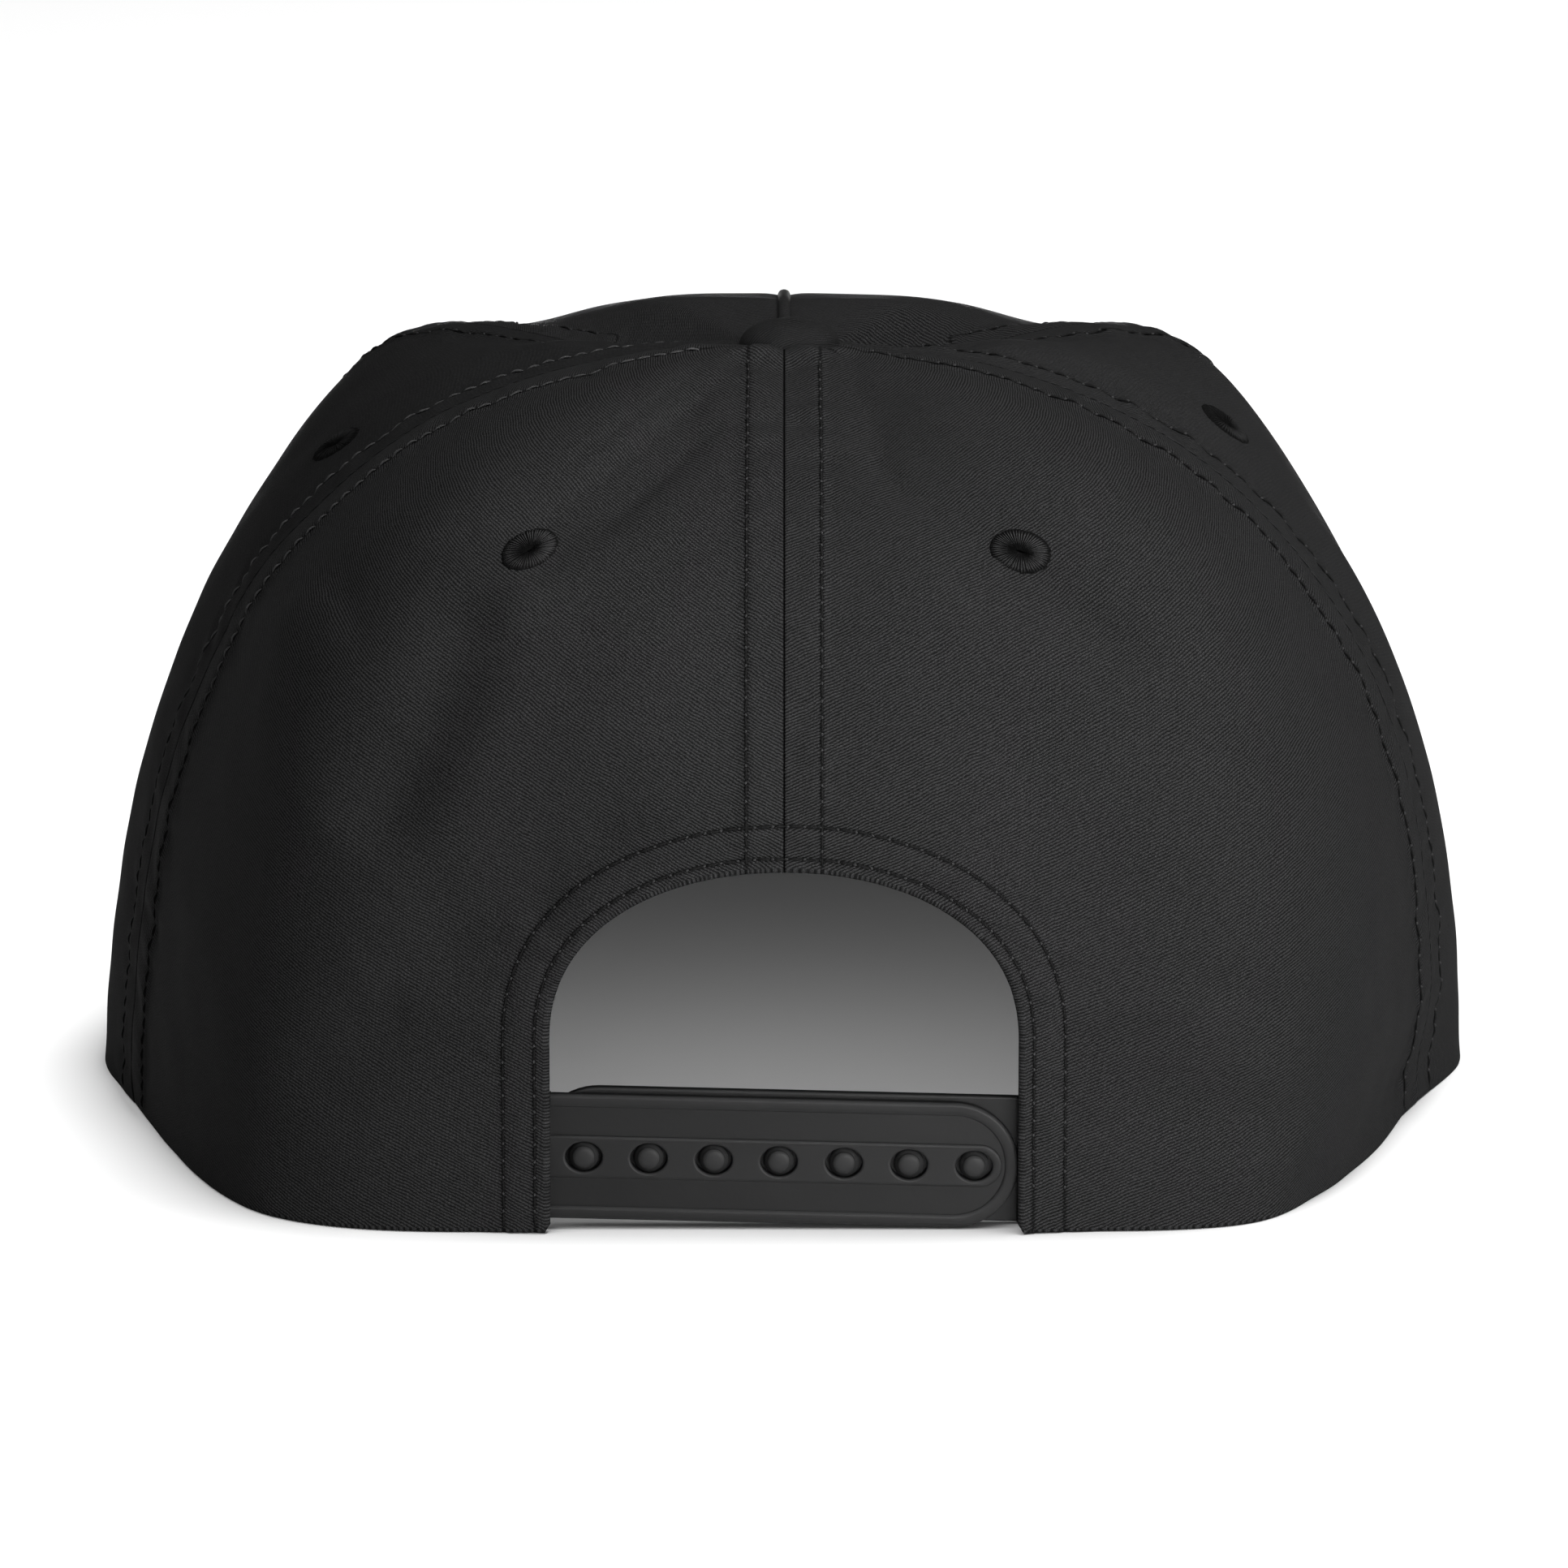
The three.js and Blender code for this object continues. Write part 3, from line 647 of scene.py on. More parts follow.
def loop_faces(loops, size, closed=False, flip=False):
    """Faces between loops of points, and between the last loop and the first where closed."""
    i, j = np.meshgrid(np.arange(loops if closed else loops - 1), np.arange(size), indexing="ij")
    near, far, beside = i * size, (i + 1) % loops * size, (j + 1) % size
    corners = [near + j, near + beside, far + beside, far + j]
    return np.stack(corners[:1] + corners[:0:-1] if flip else corners, -1).reshape(-1, 4)


def clipped(faces, field):
    """The faces where field is positive, cut along its zero line, and the cuts as (a, b, share)."""
    keep = field > 0
    count = keep[faces].sum(1)
    kept = faces[count == 4].tolist()
    cuts = {}
    for face in faces[(count > 0) & (count < 4)].tolist():
        ring = []
        for a, b in zip(face, face[1:] + face[:1]):
            if keep[a]:
                ring.append(a)
            if keep[a] != keep[b]:
                ring.append(len(field) + cuts.setdefault((min(a, b), max(a, b)), len(cuts)))
        kept.append(ring)
    ends = np.array(list(cuts), int).reshape(-1, 2)
    share = field[ends[:, 0]] / (field[ends[:, 0]] - field[ends[:, 1]])
    return kept, ends, share


def with_cuts(values, ends, share):
    """Values of the points with those of the cuts after them."""
    share = share.reshape(-1, *([1] * (values.ndim - 1)))
    return np.concatenate([values, values[ends[:, 0]] * (1 - share) + values[ends[:, 1]] * share])


def closed_sheet(outer, inner, faces, roll, fields, segments=6):
    """A closed body between two sheets of the same faces, whose edge bulges by roll."""
    outer, inner, roll = (a.reshape(-1, 3) for a in (outer, inner, roll))
    count = len(outer)
    edges = {}
    for face in faces:
        for a, b in zip(face, face[1:] + face[:1]):
            if (b, a) in edges:
                del edges[b, a]
            else:
                edges[a, b] = True
    rim = sorted({a for edge in edges for a in edge})
    angle = np.pi * np.arange(1, segments) / segments
    middle, half = (outer[rim] + inner[rim]) / 2, (outer[rim] - inner[rim]) / 2
    rolled = middle + half * np.cos(angle)[:, None, None] + roll[rim] * np.sin(angle)[:, None, None]
    points = np.concatenate([outer, inner, rolled.reshape(-1, 3)])
    made = list(faces) + [[count + a for a in reversed(face)] for face in faces]
    first = np.arange(count)
    rolls = 2 * count + np.searchsorted(rim, first)
    levels = [first, *(rolls + n * len(rim) for n in range(segments - 1)), first + count]
    for a, b in edges:
        for near, far in zip(levels, levels[1:]):
            made.append([near[b], near[a], far[a], far[b]])
    used = np.unique(np.concatenate([np.asarray(face) for face in made]))
    new = np.full(len(points), -1)
    new[used] = np.arange(len(used))
    made = [[int(new[a]) for a in face] for face in made]
    kept = {}
    for key, value in fields.items():
        kept[key] = np.concatenate([value, value] + [value[rim]] * (segments - 1))[used]
    return points[used], made, kept


def added(name, data):
    made = bpy.data.objects.new(name, data)
    bpy.context.scene.collection.objects.link(made)
    return made


def piece(name, points, faces, material, slot, nodes=(), fields=None):
    """A mesh object of points in mm, riding on the part's one body."""
    mesh = bpy.data.meshes.new(name)
    mesh.from_pydata(place(points).tolist(), [], faces)
    mesh.polygons.foreach_set("use_smooth", np.full(len(mesh.polygons), True))
    for key, values in (fields or {}).items():
        layer = mesh.attributes.new(key, "FLOAT_VECTOR", "POINT")
        layer.data.foreach_set("vector", np.asarray(values, np.float32).ravel())
    mesh.update()
    made = added(name, mesh)
    mesh.materials.append(material)
    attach(made, "root")
    if nodes:
        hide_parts(*nodes)
    return made


class Nodes:
    """Short calls that add nodes to a material."""

    def __init__(self, name):
        self.material = bpy.data.materials.new(name)
        self.material.use_nodes = True
        self.tree = self.material.node_tree
        self.shader = self.tree.nodes["Principled BSDF"]

    def add(self, kind, **settings):
        node = self.tree.nodes.new(kind)
        for key, value in settings.items():
            setattr(node, key, value)
        return node

    def feed(self, socket, value):
        if isinstance(value, bpy.types.NodeSocket):
            self.tree.links.new(value, socket)
        else:
            socket.default_value = value

    def math(self, operation, a, b=0.0, c=0.0):
        node = self.add("ShaderNodeMath", operation=operation)
        for socket, value in zip(node.inputs, (a, b, c)):
            self.feed(socket, value)
        return node.outputs[0]

    def plus(self, a, b):
        return self.math("ADD", a, b)

    def minus(self, a, b):
        return self.math("SUBTRACT", a, b)

    def times(self, a, b):
        return self.math("MULTIPLY", a, b)

    def dot(self, vector, direction):
        node = self.add("ShaderNodeVectorMath", operation="DOT_PRODUCT")
        self.feed(node.inputs[0], vector)
        node.inputs[1].default_value = direction
        return node.outputs["Value"]

    def attribute(self, name):
        return self.add("ShaderNodeAttribute", attribute_name=name).outputs["Vector"]

    def split(self, vector):
        node = self.add("ShaderNodeSeparateXYZ")
        self.feed(node.inputs[0], vector)
        return node.outputs

    def noise(self, vector, scale, detail):
        node = self.add("ShaderNodeTexNoise")
        node.inputs["Scale"].default_value = scale
        node.inputs["Detail"].default_value = detail
        self.feed(node.inputs["Vector"], vector)
        return node.outputs["Fac"]

    def sine(self, turns):
        return self.math("SINE", self.times(turns, 2 * np.pi))

    def bell(self, value, centre, width):
        offset = self.times(self.minus(value, centre), 1 / width)
        square = self.math("POWER", self.math("ABSOLUTE", offset), 2)
        return self.math("EXPONENT", self.times(square, -1))

    def colour(self, factor, low, high):
        node = self.add("ShaderNodeMix", data_type="RGBA")
        self.feed(node.inputs["Factor"], factor)
        node.clamp_factor = True
        node.inputs["A"].default_value = (*low, 1)
        node.inputs["B"].default_value = (*high, 1)
        self.feed(self.shader.inputs["Base Color"], node.outputs["Result"])

    def bump(self, height, distance):
        node = self.add("ShaderNodeBump")
        node.inputs["Distance"].default_value = distance
        self.feed(node.inputs["Height"], height)
        self.feed(self.shader.inputs["Normal"], node.outputs[0])

    def set(self, **values):
        for key, value in values.items():
            self.shader.inputs[key.replace("_", " ")].default_value = value
        return self.material


def grey(level, blue=None):
    return (level, level, blue or level)


def row_shade(n):
    """Painted shade of the cloth along its stitch rows and in its seams, where the grooves lie in shadow,
    from the "seam" distances in mm.
    """
    from_seam, _, from_arch = n.split(n.attribute("seam"))
    shade = n.times(n.bell(from_seam, SEAM_ROW, ROW_SHADE_WIDTH), 0.45)
    shade = n.math("MAXIMUM", shade, n.times(n.bell(from_seam, 0.0, SEAM_SHADE_WIDTH), 0.8))
    for row in HEM_ROWS:
        shade = n.math("MAXIMUM", shade, n.times(n.bell(from_arch, row, ROW_SHADE_WIDTH), 0.5))
    return shade


def cloth_material(name, degrees, dark, light, seams=False):
    """Twill whose lines rise at that angle across the piece, from the "cloth" coordinates in mm."""
    n = Nodes(name)
    cloth = n.attribute("cloth")
    angle = np.radians(degrees)
    across = n.dot(cloth, (-np.sin(angle) / TWILL_PITCH, np.cos(angle) / TWILL_PITCH, 0))
    along = n.dot(cloth, (np.cos(angle), np.sin(angle), 0))
    drift = n.times(n.noise(cloth, 0.25, 1.0), 1.6)
    jitter = n.times(n.noise(cloth, 3.0, 1.0), 0.7)
    turns = n.plus(across, n.plus(drift, jitter))
    lines = n.math("MULTIPLY_ADD", n.sine(turns), 0.5, 0.5)
    stagger = n.plus(n.times(along, 1 / YARN_LENGTH), n.times(n.math("FLOOR", turns), YARN_STAGGER))
    yarns = n.math("MULTIPLY_ADD", n.sine(stagger), 0.18, 0.82)
    weave = n.times(lines, yarns)
    fuzz = n.noise(cloth, 7.0, 3.0)
    cloud = n.noise(cloth, 0.06, 3.0)
    tone = n.plus(n.times(weave, 1.05), n.math("MULTIPLY_ADD", fuzz, 0.3, -0.1))
    tone = n.plus(tone, n.times(n.minus(cloud, 0.5), 0.15))
    height = n.plus(weave, n.times(fuzz, 0.6))
    if seams:
        shade = row_shade(n)
        # Painted shade of the stitch grooves and seams darkens the colour
        tone = n.minus(tone, n.times(shade, 1.3))
        height = n.minus(height, n.times(shade, 1.5))
    n.colour(tone, dark, light)
    n.bump(height, 0.00004)
    return n.set(Roughness=0.85, Specular_IOR_Level=0.03)


def thread_material(name, dark, light, above=None):
    """Thread, which is dark below a height in metres where one is given and painted lighter above it as a
    highlight.
    """
    n = Nodes(name)
    where = n.add("ShaderNodeTexCoord").outputs["Object"]
    tone = n.noise(where, 3500.0, 2.0)
    if above:
        _, _, height = n.split(where)
        share = n.times(n.minus(height, above), 1 / THREAD_FADE)
        tone = n.times(tone, n.math("MINIMUM", n.math("MAXIMUM", share, 0.03), 1.0))
    n.colour(tone, dark, light)
    n.bump(n.noise(where, 5200.0, 2.0), 0.00008)
    return n.set(Roughness=0.8, Specular_IOR_Level=0.08)


def eyelet_material(name, light):
    """Threads side by side around the slot, from "cloth": their number, the way out and the height;
    painted shade darkens them at the slot, at the outer edge and on their upper side.
    """
    n = Nodes(name)
    turns, out, above = n.split(n.attribute("cloth"))
    where = n.add("ShaderNodeTexCoord").outputs["Object"]
    tone = n.math("MULTIPLY_ADD", n.sine(turns), 0.45, 0.1)
    tone = n.plus(tone, n.times(n.noise(where, 3000.0, 2.0), 0.75))
    # Painted shade: dark in the slot and where the ring meets the cloth, and darker on the upper side
    ends = n.plus(n.times(n.bell(out, 1.0, 0.17), 0.9), n.bell(out, 0.0, 0.4))
    ends = n.plus(ends, n.times(n.math("MAXIMUM", above, 0.0), 0.4))
    n.colour(n.minus(tone, ends), grey(0.0002), light)
    return n.set(Roughness=0.8, Specular_IOR_Level=0.04)


def plastic_material(name, dark, light):
    """Plastic that is lighter where the points' "tone" is higher; the tones paint light and shade onto
    it.
    """
    n = Nodes(name)
    where = n.add("ShaderNodeTexCoord").outputs["Object"]
    tone, _, _ = n.split(n.attribute("tone"))
    n.colour(n.math("MULTIPLY_ADD", n.noise(where, 120.0, 4.0), 0.25, tone), dark, light)
    n.bump(n.plus(n.noise(where, 900.0, 3.0), n.times(n.noise(where, 90.0, 2.0), 2.0)), 0.00003)
    return n.set(Roughness=0.5, Specular_IOR_Level=0.07)


CLOTH_DARK = grey(0.0012, 0.00122)
CLOTH_LIGHT = grey(0.0125, 0.0127)
BUTTON_LIGHT = grey(0.0095, 0.0096)
# Near-black thread, darker than the cloth: the thread's own black, and painted shade of the grooves the
# stitches sink into
THREAD = thread_material("thread", grey(0.0004), grey(0.0015))
# Specks of loop between the stitches, painted lighter than the thread as glints
THREAD_LOOP_GLINT = thread_material("thread_loop_painted_glint", grey(0.008, 0.0081), grey(0.016, 0.0162))
# The left seam's thread: a painted highlight above a height, where the thread catches the light
THREAD_PAINTED_HIGHLIGHT = thread_material("thread_painted_highlight", grey(0.0005), grey(0.04, 0.0404), HIGHLIGHT_THREAD_Z)
EYELET_BACK = eyelet_material("eyelet_thread", grey(0.018, 0.0182))
# The side eyelets take a darker copy of the same eyelet thread: painted shade
EYELET_SIDE = eyelet_material("eyelet_thread_dark", grey(0.008, 0.0081))
PLASTIC = plastic_material("strap_plastic", grey(0.0022, 0.00223), grey(0.0085, 0.0086))


def eyelet_frames():
    """Centre, outward normal, two tangents and the cloth's bend around each eyelet."""
    frames = {}
    for name, (u, v, tilt, _) in EYELETS.items():
        around = np.array([u, u + 0.08, u - 0.08, u, u])
        above = np.array([v, v, v, v + 0.02, v - 0.02])
        point = crown_point(around, above)
        point += crown_normal(around, above) * (cloth_drape(point) - fold_depth(point))[:, None]
        along = unit(point[1] - point[2])
        normal = unit(np.cross(along, point[3] - point[4]))
        up = np.cross(normal, along)
        bend = 0
        for way, a, b in ((along, point[1], point[2]), (up, point[3], point[4])):
            bend = bend + 4 * ((a + b) / 2 - point[0]) @ normal / ((a - b) @ (a - b)) * np.outer(way, way)
        turn = np.radians(tilt)
        wide = np.cos(turn) * along + np.sin(turn) * up
        frames[name] = (point[0], normal, wide, np.cross(normal, wide), bend)
    return frames


EYELET_FRAMES = eyelet_frames()


def eyelet_distance(points):
    """Distance from the nearest eyelet's axis, beyond the hole that is cut for it."""
    gaps = [np.linalg.norm(points - centre, axis=-1) for centre, *_ in EYELET_FRAMES.values()]
    return np.minimum.reduce(gaps) - EYELET_CUT_R


def pinch_height(v, gap):
    rise = smoothstep(v, PINCH_BOTTOM_V, PINCH_BOTTOM_V + PINCH_FADE_V)
    ends = rise * (1 - smoothstep(v, PINCH_TOP_V - PINCH_CUT_V, PINCH_TOP_V))
    tube = np.sqrt(np.clip(PINCH_R**2 - gap**2, 0, None))
    return ends * (tube - PINCH_SINK * hump(gap, PINCH_FOOT))


def front_seam_fade(point):
    """Distance added to that from the front seams, which flatten out towards the button."""
    x, y, _ = np.moveaxis(point, -1, 0)
    beyond = smoothstep(y - TOP_Y - FRONT_FADE_SLOPE * np.abs(x), 0, 2)
    return FRONT_FADE_SHIFT * beyond * (1 - smoothstep(np.hypot(x, y - TOP_Y), *FRONT_FADE_R))


def panel_piece(name, seed):
    node, ribs, twill, painted_lightness = PANELS[name]
    rows = row_heights()
    parts = []
    for n, (start, end) in enumerate(zip(ribs, ribs[1:])):
        u, s, width, from_left, from_right = span_columns(start, end, rows)
        v = np.broadcast_to(rows, u.shape)
        left_seam, right_seam = is_seam(start), is_seam(end)
        far = np.full(u.shape, SEAM_FAR)
        d = np.minimum(from_left if left_seam else far, from_right if right_seam else far)
        gap = far if left_seam and right_seam else (from_right if left_seam else from_left)
        left_run = lengths_along(crown_point(start, rows))
        right_run = lengths_along(crown_point(end, rows)) + RIGHT_EDGE_T
        t = np.where(from_left < from_right, left_run, right_run)
        centre = width / 2 if len(ribs) == 2 else (width if n == 0 else 0 * width)
        part = {"u": u, "v": v, "d": d, "gap": gap, "t": t, "across": s - centre}
        if n:
            part = {key: value[1:] for key, value in part.items()}
        parts.append(part)
    grid = {key: np.concatenate([part[key] for part in parts]) for key in parts[0]}
    u, v, d, t = grid["u"], grid["v"], grid["d"], grid["t"]
    plain = crown_point(u, v)
    d = d + front_seam_fade(plain)
    phi, toward = arch_distance(plain)
    outer = outer_point(u, v, d, t, phi, seed, pinch_height(v, grid["gap"]))
    inner = inner_point(u, v, d)
    up = lengths_along(crown_point((ribs[0] + ribs[-1]) / 2, rows))
    fields = {"cloth": vectors(grid["across"], up, 0), "seam": vectors(d, t, phi)}
    roll = HEM_ROLL * toward * (phi < 4 * HEM_ROLL)[..., None]
    roll[:, 0] = (0, 0, -RIM_ROLL)
    field = np.minimum(phi - HEM_ROLL, eyelet_distance(outer))
    faces, ends, share = clipped(grid_faces(*u.shape), field.ravel())
    outer, inner, roll = (with_cuts(a.reshape(-1, 3), ends, share) for a in (outer, inner, roll))
    fields = {key: with_cuts(value, ends, share) for key, value in fields.items()}
    points, faces, fields = closed_sheet(outer, inner, faces, roll, fields)
    points[:, 2] = np.maximum(points[:, 2], 0)
    # Below 1 the colour's light end is painted darker: painted shade of the left side panel, which the
    # lights miss
    light = [painted_lightness * c for c in CLOTH_LIGHT]
    material = cloth_material("twill_" + name, twill, CLOTH_DARK, light, seams=True)
    piece("cloth_" + name, points, faces, material, "cloth", [node], fields)


def stitch_mesh(rows, lift, length=STITCH_LENGTH, pitch=STITCH_PITCH, middle=STITCH_LENGTH / 2):
    """Closed threads along rows, each row an array of points, their outward normals and a seed."""
    share = np.linspace(0, 1, THREAD_RINGS)
    centres, outs = [], []
    for points, normals, seed in rows:
        rng = np.random.default_rng(seed)
        run = lengths_along(points)
        count = int((run[-1] - 2 * pitch) / pitch)
        slip = rng.uniform(-STITCH_SLIP, STITCH_SLIP, count)
        starts = ROW_MARGIN + middle - length / 2 + pitch * np.arange(count) + slip
        at = starts[:, None] + length * share
        centre = sampled(at, run, points)
        out = unit(sampled(at, run, normals))
        side = unit(np.cross(out, np.gradient(centre, axis=1)))
        skew = rng.uniform(-STITCH_SKEW, STITCH_SKEW, (count, 1, 1)) * (share[:, None] - 0.5) * 2
        centre = centre + out * (lift * np.sin(np.pi * share) + THREAD_BASE)[:, None] + side * skew
        centres.append(centre)
        outs.append(out)
    centre, out = np.concatenate(centres), np.concatenate(outs)
    along = unit(np.gradient(centre, axis=1))
    side = unit(np.cross(along, out))
    out = np.cross(side, along)
    taper = THREAD_R * np.sqrt(np.sin(np.pi * np.linspace(*THREAD_TAPER, THREAD_RINGS)))
    angle = around(THREAD_SIDES)
    ring = np.cos(angle)[:, None] * side[:, :, None] + np.sin(angle)[:, None] * out[:, :, None]
    points = centre[:, :, None] + ring * taper[:, None, None]
    start = (np.arange(len(centre)) * THREAD_RINGS * THREAD_SIDES)[:, None]
    quads = (start[:, None] + loop_faces(THREAD_RINGS, THREAD_SIDES)).reshape(-1, 4)
    first = start + np.arange(THREAD_SIDES)[::-1]
    last = start + (THREAD_RINGS - 1) * THREAD_SIDES + np.arange(THREAD_SIDES)
    return points.reshape(-1, 3), quads.tolist() + first.tolist() + last.tolist()


def seam_rows(seams):
    """Stitch rows on both sides of seams of the crown."""
    v = np.linspace(V_START, V_END, ROW_POINTS)
    rows = []
    for seam in seams:
        rib = crown_point(seam, v)
        up = unit(np.gradient(rib, axis=0))
        t = lengths_along(rib)
        for side in (-1, 1):
            fine = seam + side * np.linspace(0, ROW_REACH, ROW_REACH_POINTS)
            points = crown_point(fine[:, None], v[None])
            run = lengths_along(points)
            square = np.linalg.norm(np.cross(unit(points[1] - points[0]), up), axis=-1)
            s = SEAM_ROW / square
            u = np.array([np.interp(s[j], run[:, j], fine) for j in range(len(v))])
            base = crown_point(u, v)
            phi, _ = arch_distance(base)
            d = np.full(len(v), SEAM_ROW)
            radius = np.hypot(base[:, 0], base[:, 1] - TOP_Y)
            nearest = FRONT_ROWS_R if seam in FRONT_SEAMS else (SIDE_ROWS_R if seam else BACK_ROWS_R)
            keep = (phi > ROWS_FROM_ARCH) & (radius > nearest) & (s < run[-1])
            panel = (SEAMS.index(seam) - (side < 0)) % len(PANELS)
            outer = outer_point(u, v, d, t + (RIGHT_EDGE_T if side < 0 else 0), phi, panel)
            normal = crown_normal(u, v)
            outer = outer - (FRONT_ROWS_SINK if seam in FRONT_SEAMS else 0) * normal
            rows.append((outer[keep], normal[keep], 2 * seam + (side > 0)))
    return rows


def crown_at(x, z):
    """u and v of the back of the crown where it is seen at (x, z), found in small steps."""
    u, v = x / RIBS[1, 0], z / CROWN_RUN
    step, pace = 1e-3, 0.8
    for _ in range(30):
        point = crown_point(u, v)
        du = (crown_point(u + step, v) - point) / step
        dv = (crown_point(u, v + step) - point) / step
        ex, ez = x - point[..., 0], z - point[..., 2]
        det = du[..., 0] * dv[..., 2] - dv[..., 0] * du[..., 2]
        u = u + pace * (ex * dv[..., 2] - ez * dv[..., 0]) / det
        v = np.clip(v + pace * (ez * du[..., 0] - ex * du[..., 2]) / det, 0.0005, 0.9)
    return u, v


def hem_row(offset):
    line = arch_line(ARCH_FINE_POINTS)
    run = np.gradient(line, axis=0)
    away = unit(np.stack([-run[:, 1], run[:, 0]], 1))
    x, z = (line + offset * away).T
    keep = z > HEM_ROWS_FROM_Z
    x, z = x[keep], z[keep]
    u, v = crown_at(x, z)
    phi = np.full(len(x), float(offset))
    d = np.abs(x)
    heights = np.linspace(0, V_END, RUN_POINTS)
    t = np.interp(v, heights, lengths_along(crown_point(0, heights)))
    right, left = (outer_point(u, v, d, t, phi, panel) for panel in (0, len(PANELS) - 1))
    return np.where((x > 0)[:, None], right, left), crown_normal(u, v), int(10 * offset)


def eyelet_piece(name, seed):
    """A ring of threads side by side around a slot."""
    centre, normal, along, up, bend = EYELET_FRAMES[name]
    rng = np.random.default_rng(seed)
    count = EYELET_THREADS * EYELET_THREAD_STEPS
    theta, alpha = around(count), around(EYELET_SIDES)
    thread, step = np.divmod(np.arange(count), EYELET_THREAD_STEPS)
    bulge = np.abs(np.sin(np.pi * (step + 0.5) / EYELET_THREAD_STEPS))
    spreads = [rng.normal(0, spread, EYELET_THREADS) for spread in EYELET_SPREADS]
    reach, high, shift = (spread[thread][:, None] for spread in spreads)
    out = 0.5 + 0.5 * np.sign(np.cos(alpha)) * np.abs(np.cos(alpha)) ** 0.8
    wide = EYELET_SLOT + (EYELET_R + 0.1 + reach - EYELET_SLOT) * out
    tall = EYELET_SLOT_HEIGHT + ((EYELET_R + reach) * EYELETS[name][3] - EYELET_SLOT_HEIGHT) * out
    height = EYELET_HEIGHT + high - EYELET_RIB + EYELET_RIB * bulge[:, None]
    height = height * (0.6 + 0.4 * out) * np.sin(alpha)
    spin = theta[:, None] + shift
    flat = (wide * np.cos(spin))[..., None] * along + (tall * np.sin(spin))[..., None] * up
    height = height + ((flat @ bend) * flat).sum(-1) - EYELET_SINK
    points = (centre + flat + height[..., None] * normal).reshape(-1, 3)
    faces = loop_faces(count, EYELET_SIDES, closed=True, flip=True).tolist()
    turns = (theta * EYELET_THREADS / (2 * np.pi))[:, None]
    fields = {"cloth": vectors(turns, out, out * unit(flat)[..., 2])}
    material = EYELET_SIDE if "side" in name else EYELET_BACK
    piece("sewn_" + name, points, faces, material, "thread", [name], fields)


def button_piece():
    share = np.linspace(0, 1, BUTTON_RINGS)
    angle = share[:-1] * np.pi / 2
    radius = np.append(BUTTON_R * np.sin(angle) ** BUTTON_ROUNDNESS, BUTTON_R - BUTTON_TUCK)
    height = np.append(BUTTON_HEIGHT * np.cos(angle), -BUTTON_SKIRT)
    theta = around(BUTTON_SIDES)
    x = radius[:, None] * np.cos(theta)
    y = radius[:, None] * np.sin(theta)
    z = height[:, None] + waves(np.stack([x, y], -1), *BUTTON_PUFF)
    points = vectors(x + BUTTON_X, y + TOP_Y, z + BUTTON_BASE)
    faces = loop_faces(BUTTON_RINGS, BUTTON_SIDES, flip=True).tolist()
    faces.append(list(reversed(range(len(points) - BUTTON_SIDES, len(points)))))
    run = (share * 1.3 * BUTTON_R)[:, None]
    fields = {"cloth": vectors(run * np.cos(theta), run * np.sin(theta), 0)}
    material = cloth_material("twill_button", 35, CLOTH_DARK, BUTTON_LIGHT)
    piece("covered_button", points, faces, material, "cloth", ["button"], fields)


def band_piece():
    u = np.linspace(BAND_FROM, BAND_TO, BAND_COLUMNS)[:, None]
    v = np.linspace(V_START, BAND_TOP_V, BAND_LEVELS)[None]
    u, v = np.broadcast_arrays(u, v)
    from_end = np.minimum(u - BAND_FROM, BAND_TO - u)
    behind = WALL + BAND_GAP + BAND_STRAP_CLEARANCE * (1 - smoothstep(from_end, *BAND_CLEAR_END))
    point = crown_point(u, v)
    normal = crown_normal(u, v)
    depth = behind + fold_depth(point)
    outer = point - normal * depth[..., None]
    inner = point - normal * (depth + BAND_THICKNESS + waves(point, *BAND_PUFF))[..., None]
    roll = np.zeros(point.shape)
    roll[:, 0, 2] = -BAND_ROLL[0]
    roll[:, -1, 2] = BAND_ROLL[1]
    fields = {"cloth": vectors(u * BAND_RIB_WIDTH, v * CROWN_RUN, 0)}
    points, faces, fields = closed_sheet(outer, inner, grid_faces(*u.shape).tolist(), roll, fields)
    material = cloth_material("twill_band", 45, CLOTH_DARK, CLOTH_LIGHT)
    piece("band_tape", points, faces, material, "band_cloth", ["sweatband"], fields)
    rows = [(inner[:, level], -normal[:, level], level) for level in BAND_STITCH_LEVELS]
    piece("band_stitches", *stitch_mesh(rows, BAND_LIFT), THREAD, "thread")


def peak_grid(shares):
    """The peak's top, from where it meets the crown to its free edge."""
    a = np.linspace(0, 1, PEAK_COLUMNS)[:, None]
    b = shares[None]
    u = PEAK_FROM + (PEAK_TO - PEAK_FROM) * a
    point = crown_point(u, 0 * u)
    root = point - crown_normal(u, 0 * u) * WALL
    angle = np.pi * a
    rim_x = PEAK_HALF_WIDTH * squared_off(np.cos(angle), PEAK_POWER)
    rim_y = PEAK_ROOT_Y + (PEAK_TIP_Y - PEAK_ROOT_Y) * squared_off(np.abs(np.sin(angle)), PEAK_POWER)
    x = root[..., 0] * (1 - b) + rim_x * b
    y = root[..., 1] * (1 - b) + rim_y * b
    drop = PEAK_DROP * np.maximum(0, (y - PEAK_ROOT_Y) / PEAK_LENGTH)
    top = PEAK_CROWN_Z - PEAK_ARCH * (x / PEAK_HALF_WIDTH) ** 2 - drop - PEAK_GAP
    blend = smoothstep(b, 0, 0.5)
    z = (root[..., 2] - PEAK_GAP) * (1 - blend) + top * blend
    away = np.hypot(x - root[..., 0], y - root[..., 1])
    z = z + PEAK_SEAM_RISE * (1 - smoothstep(away, WALL, 3 * WALL))
    return np.stack([x, y, z], -1)


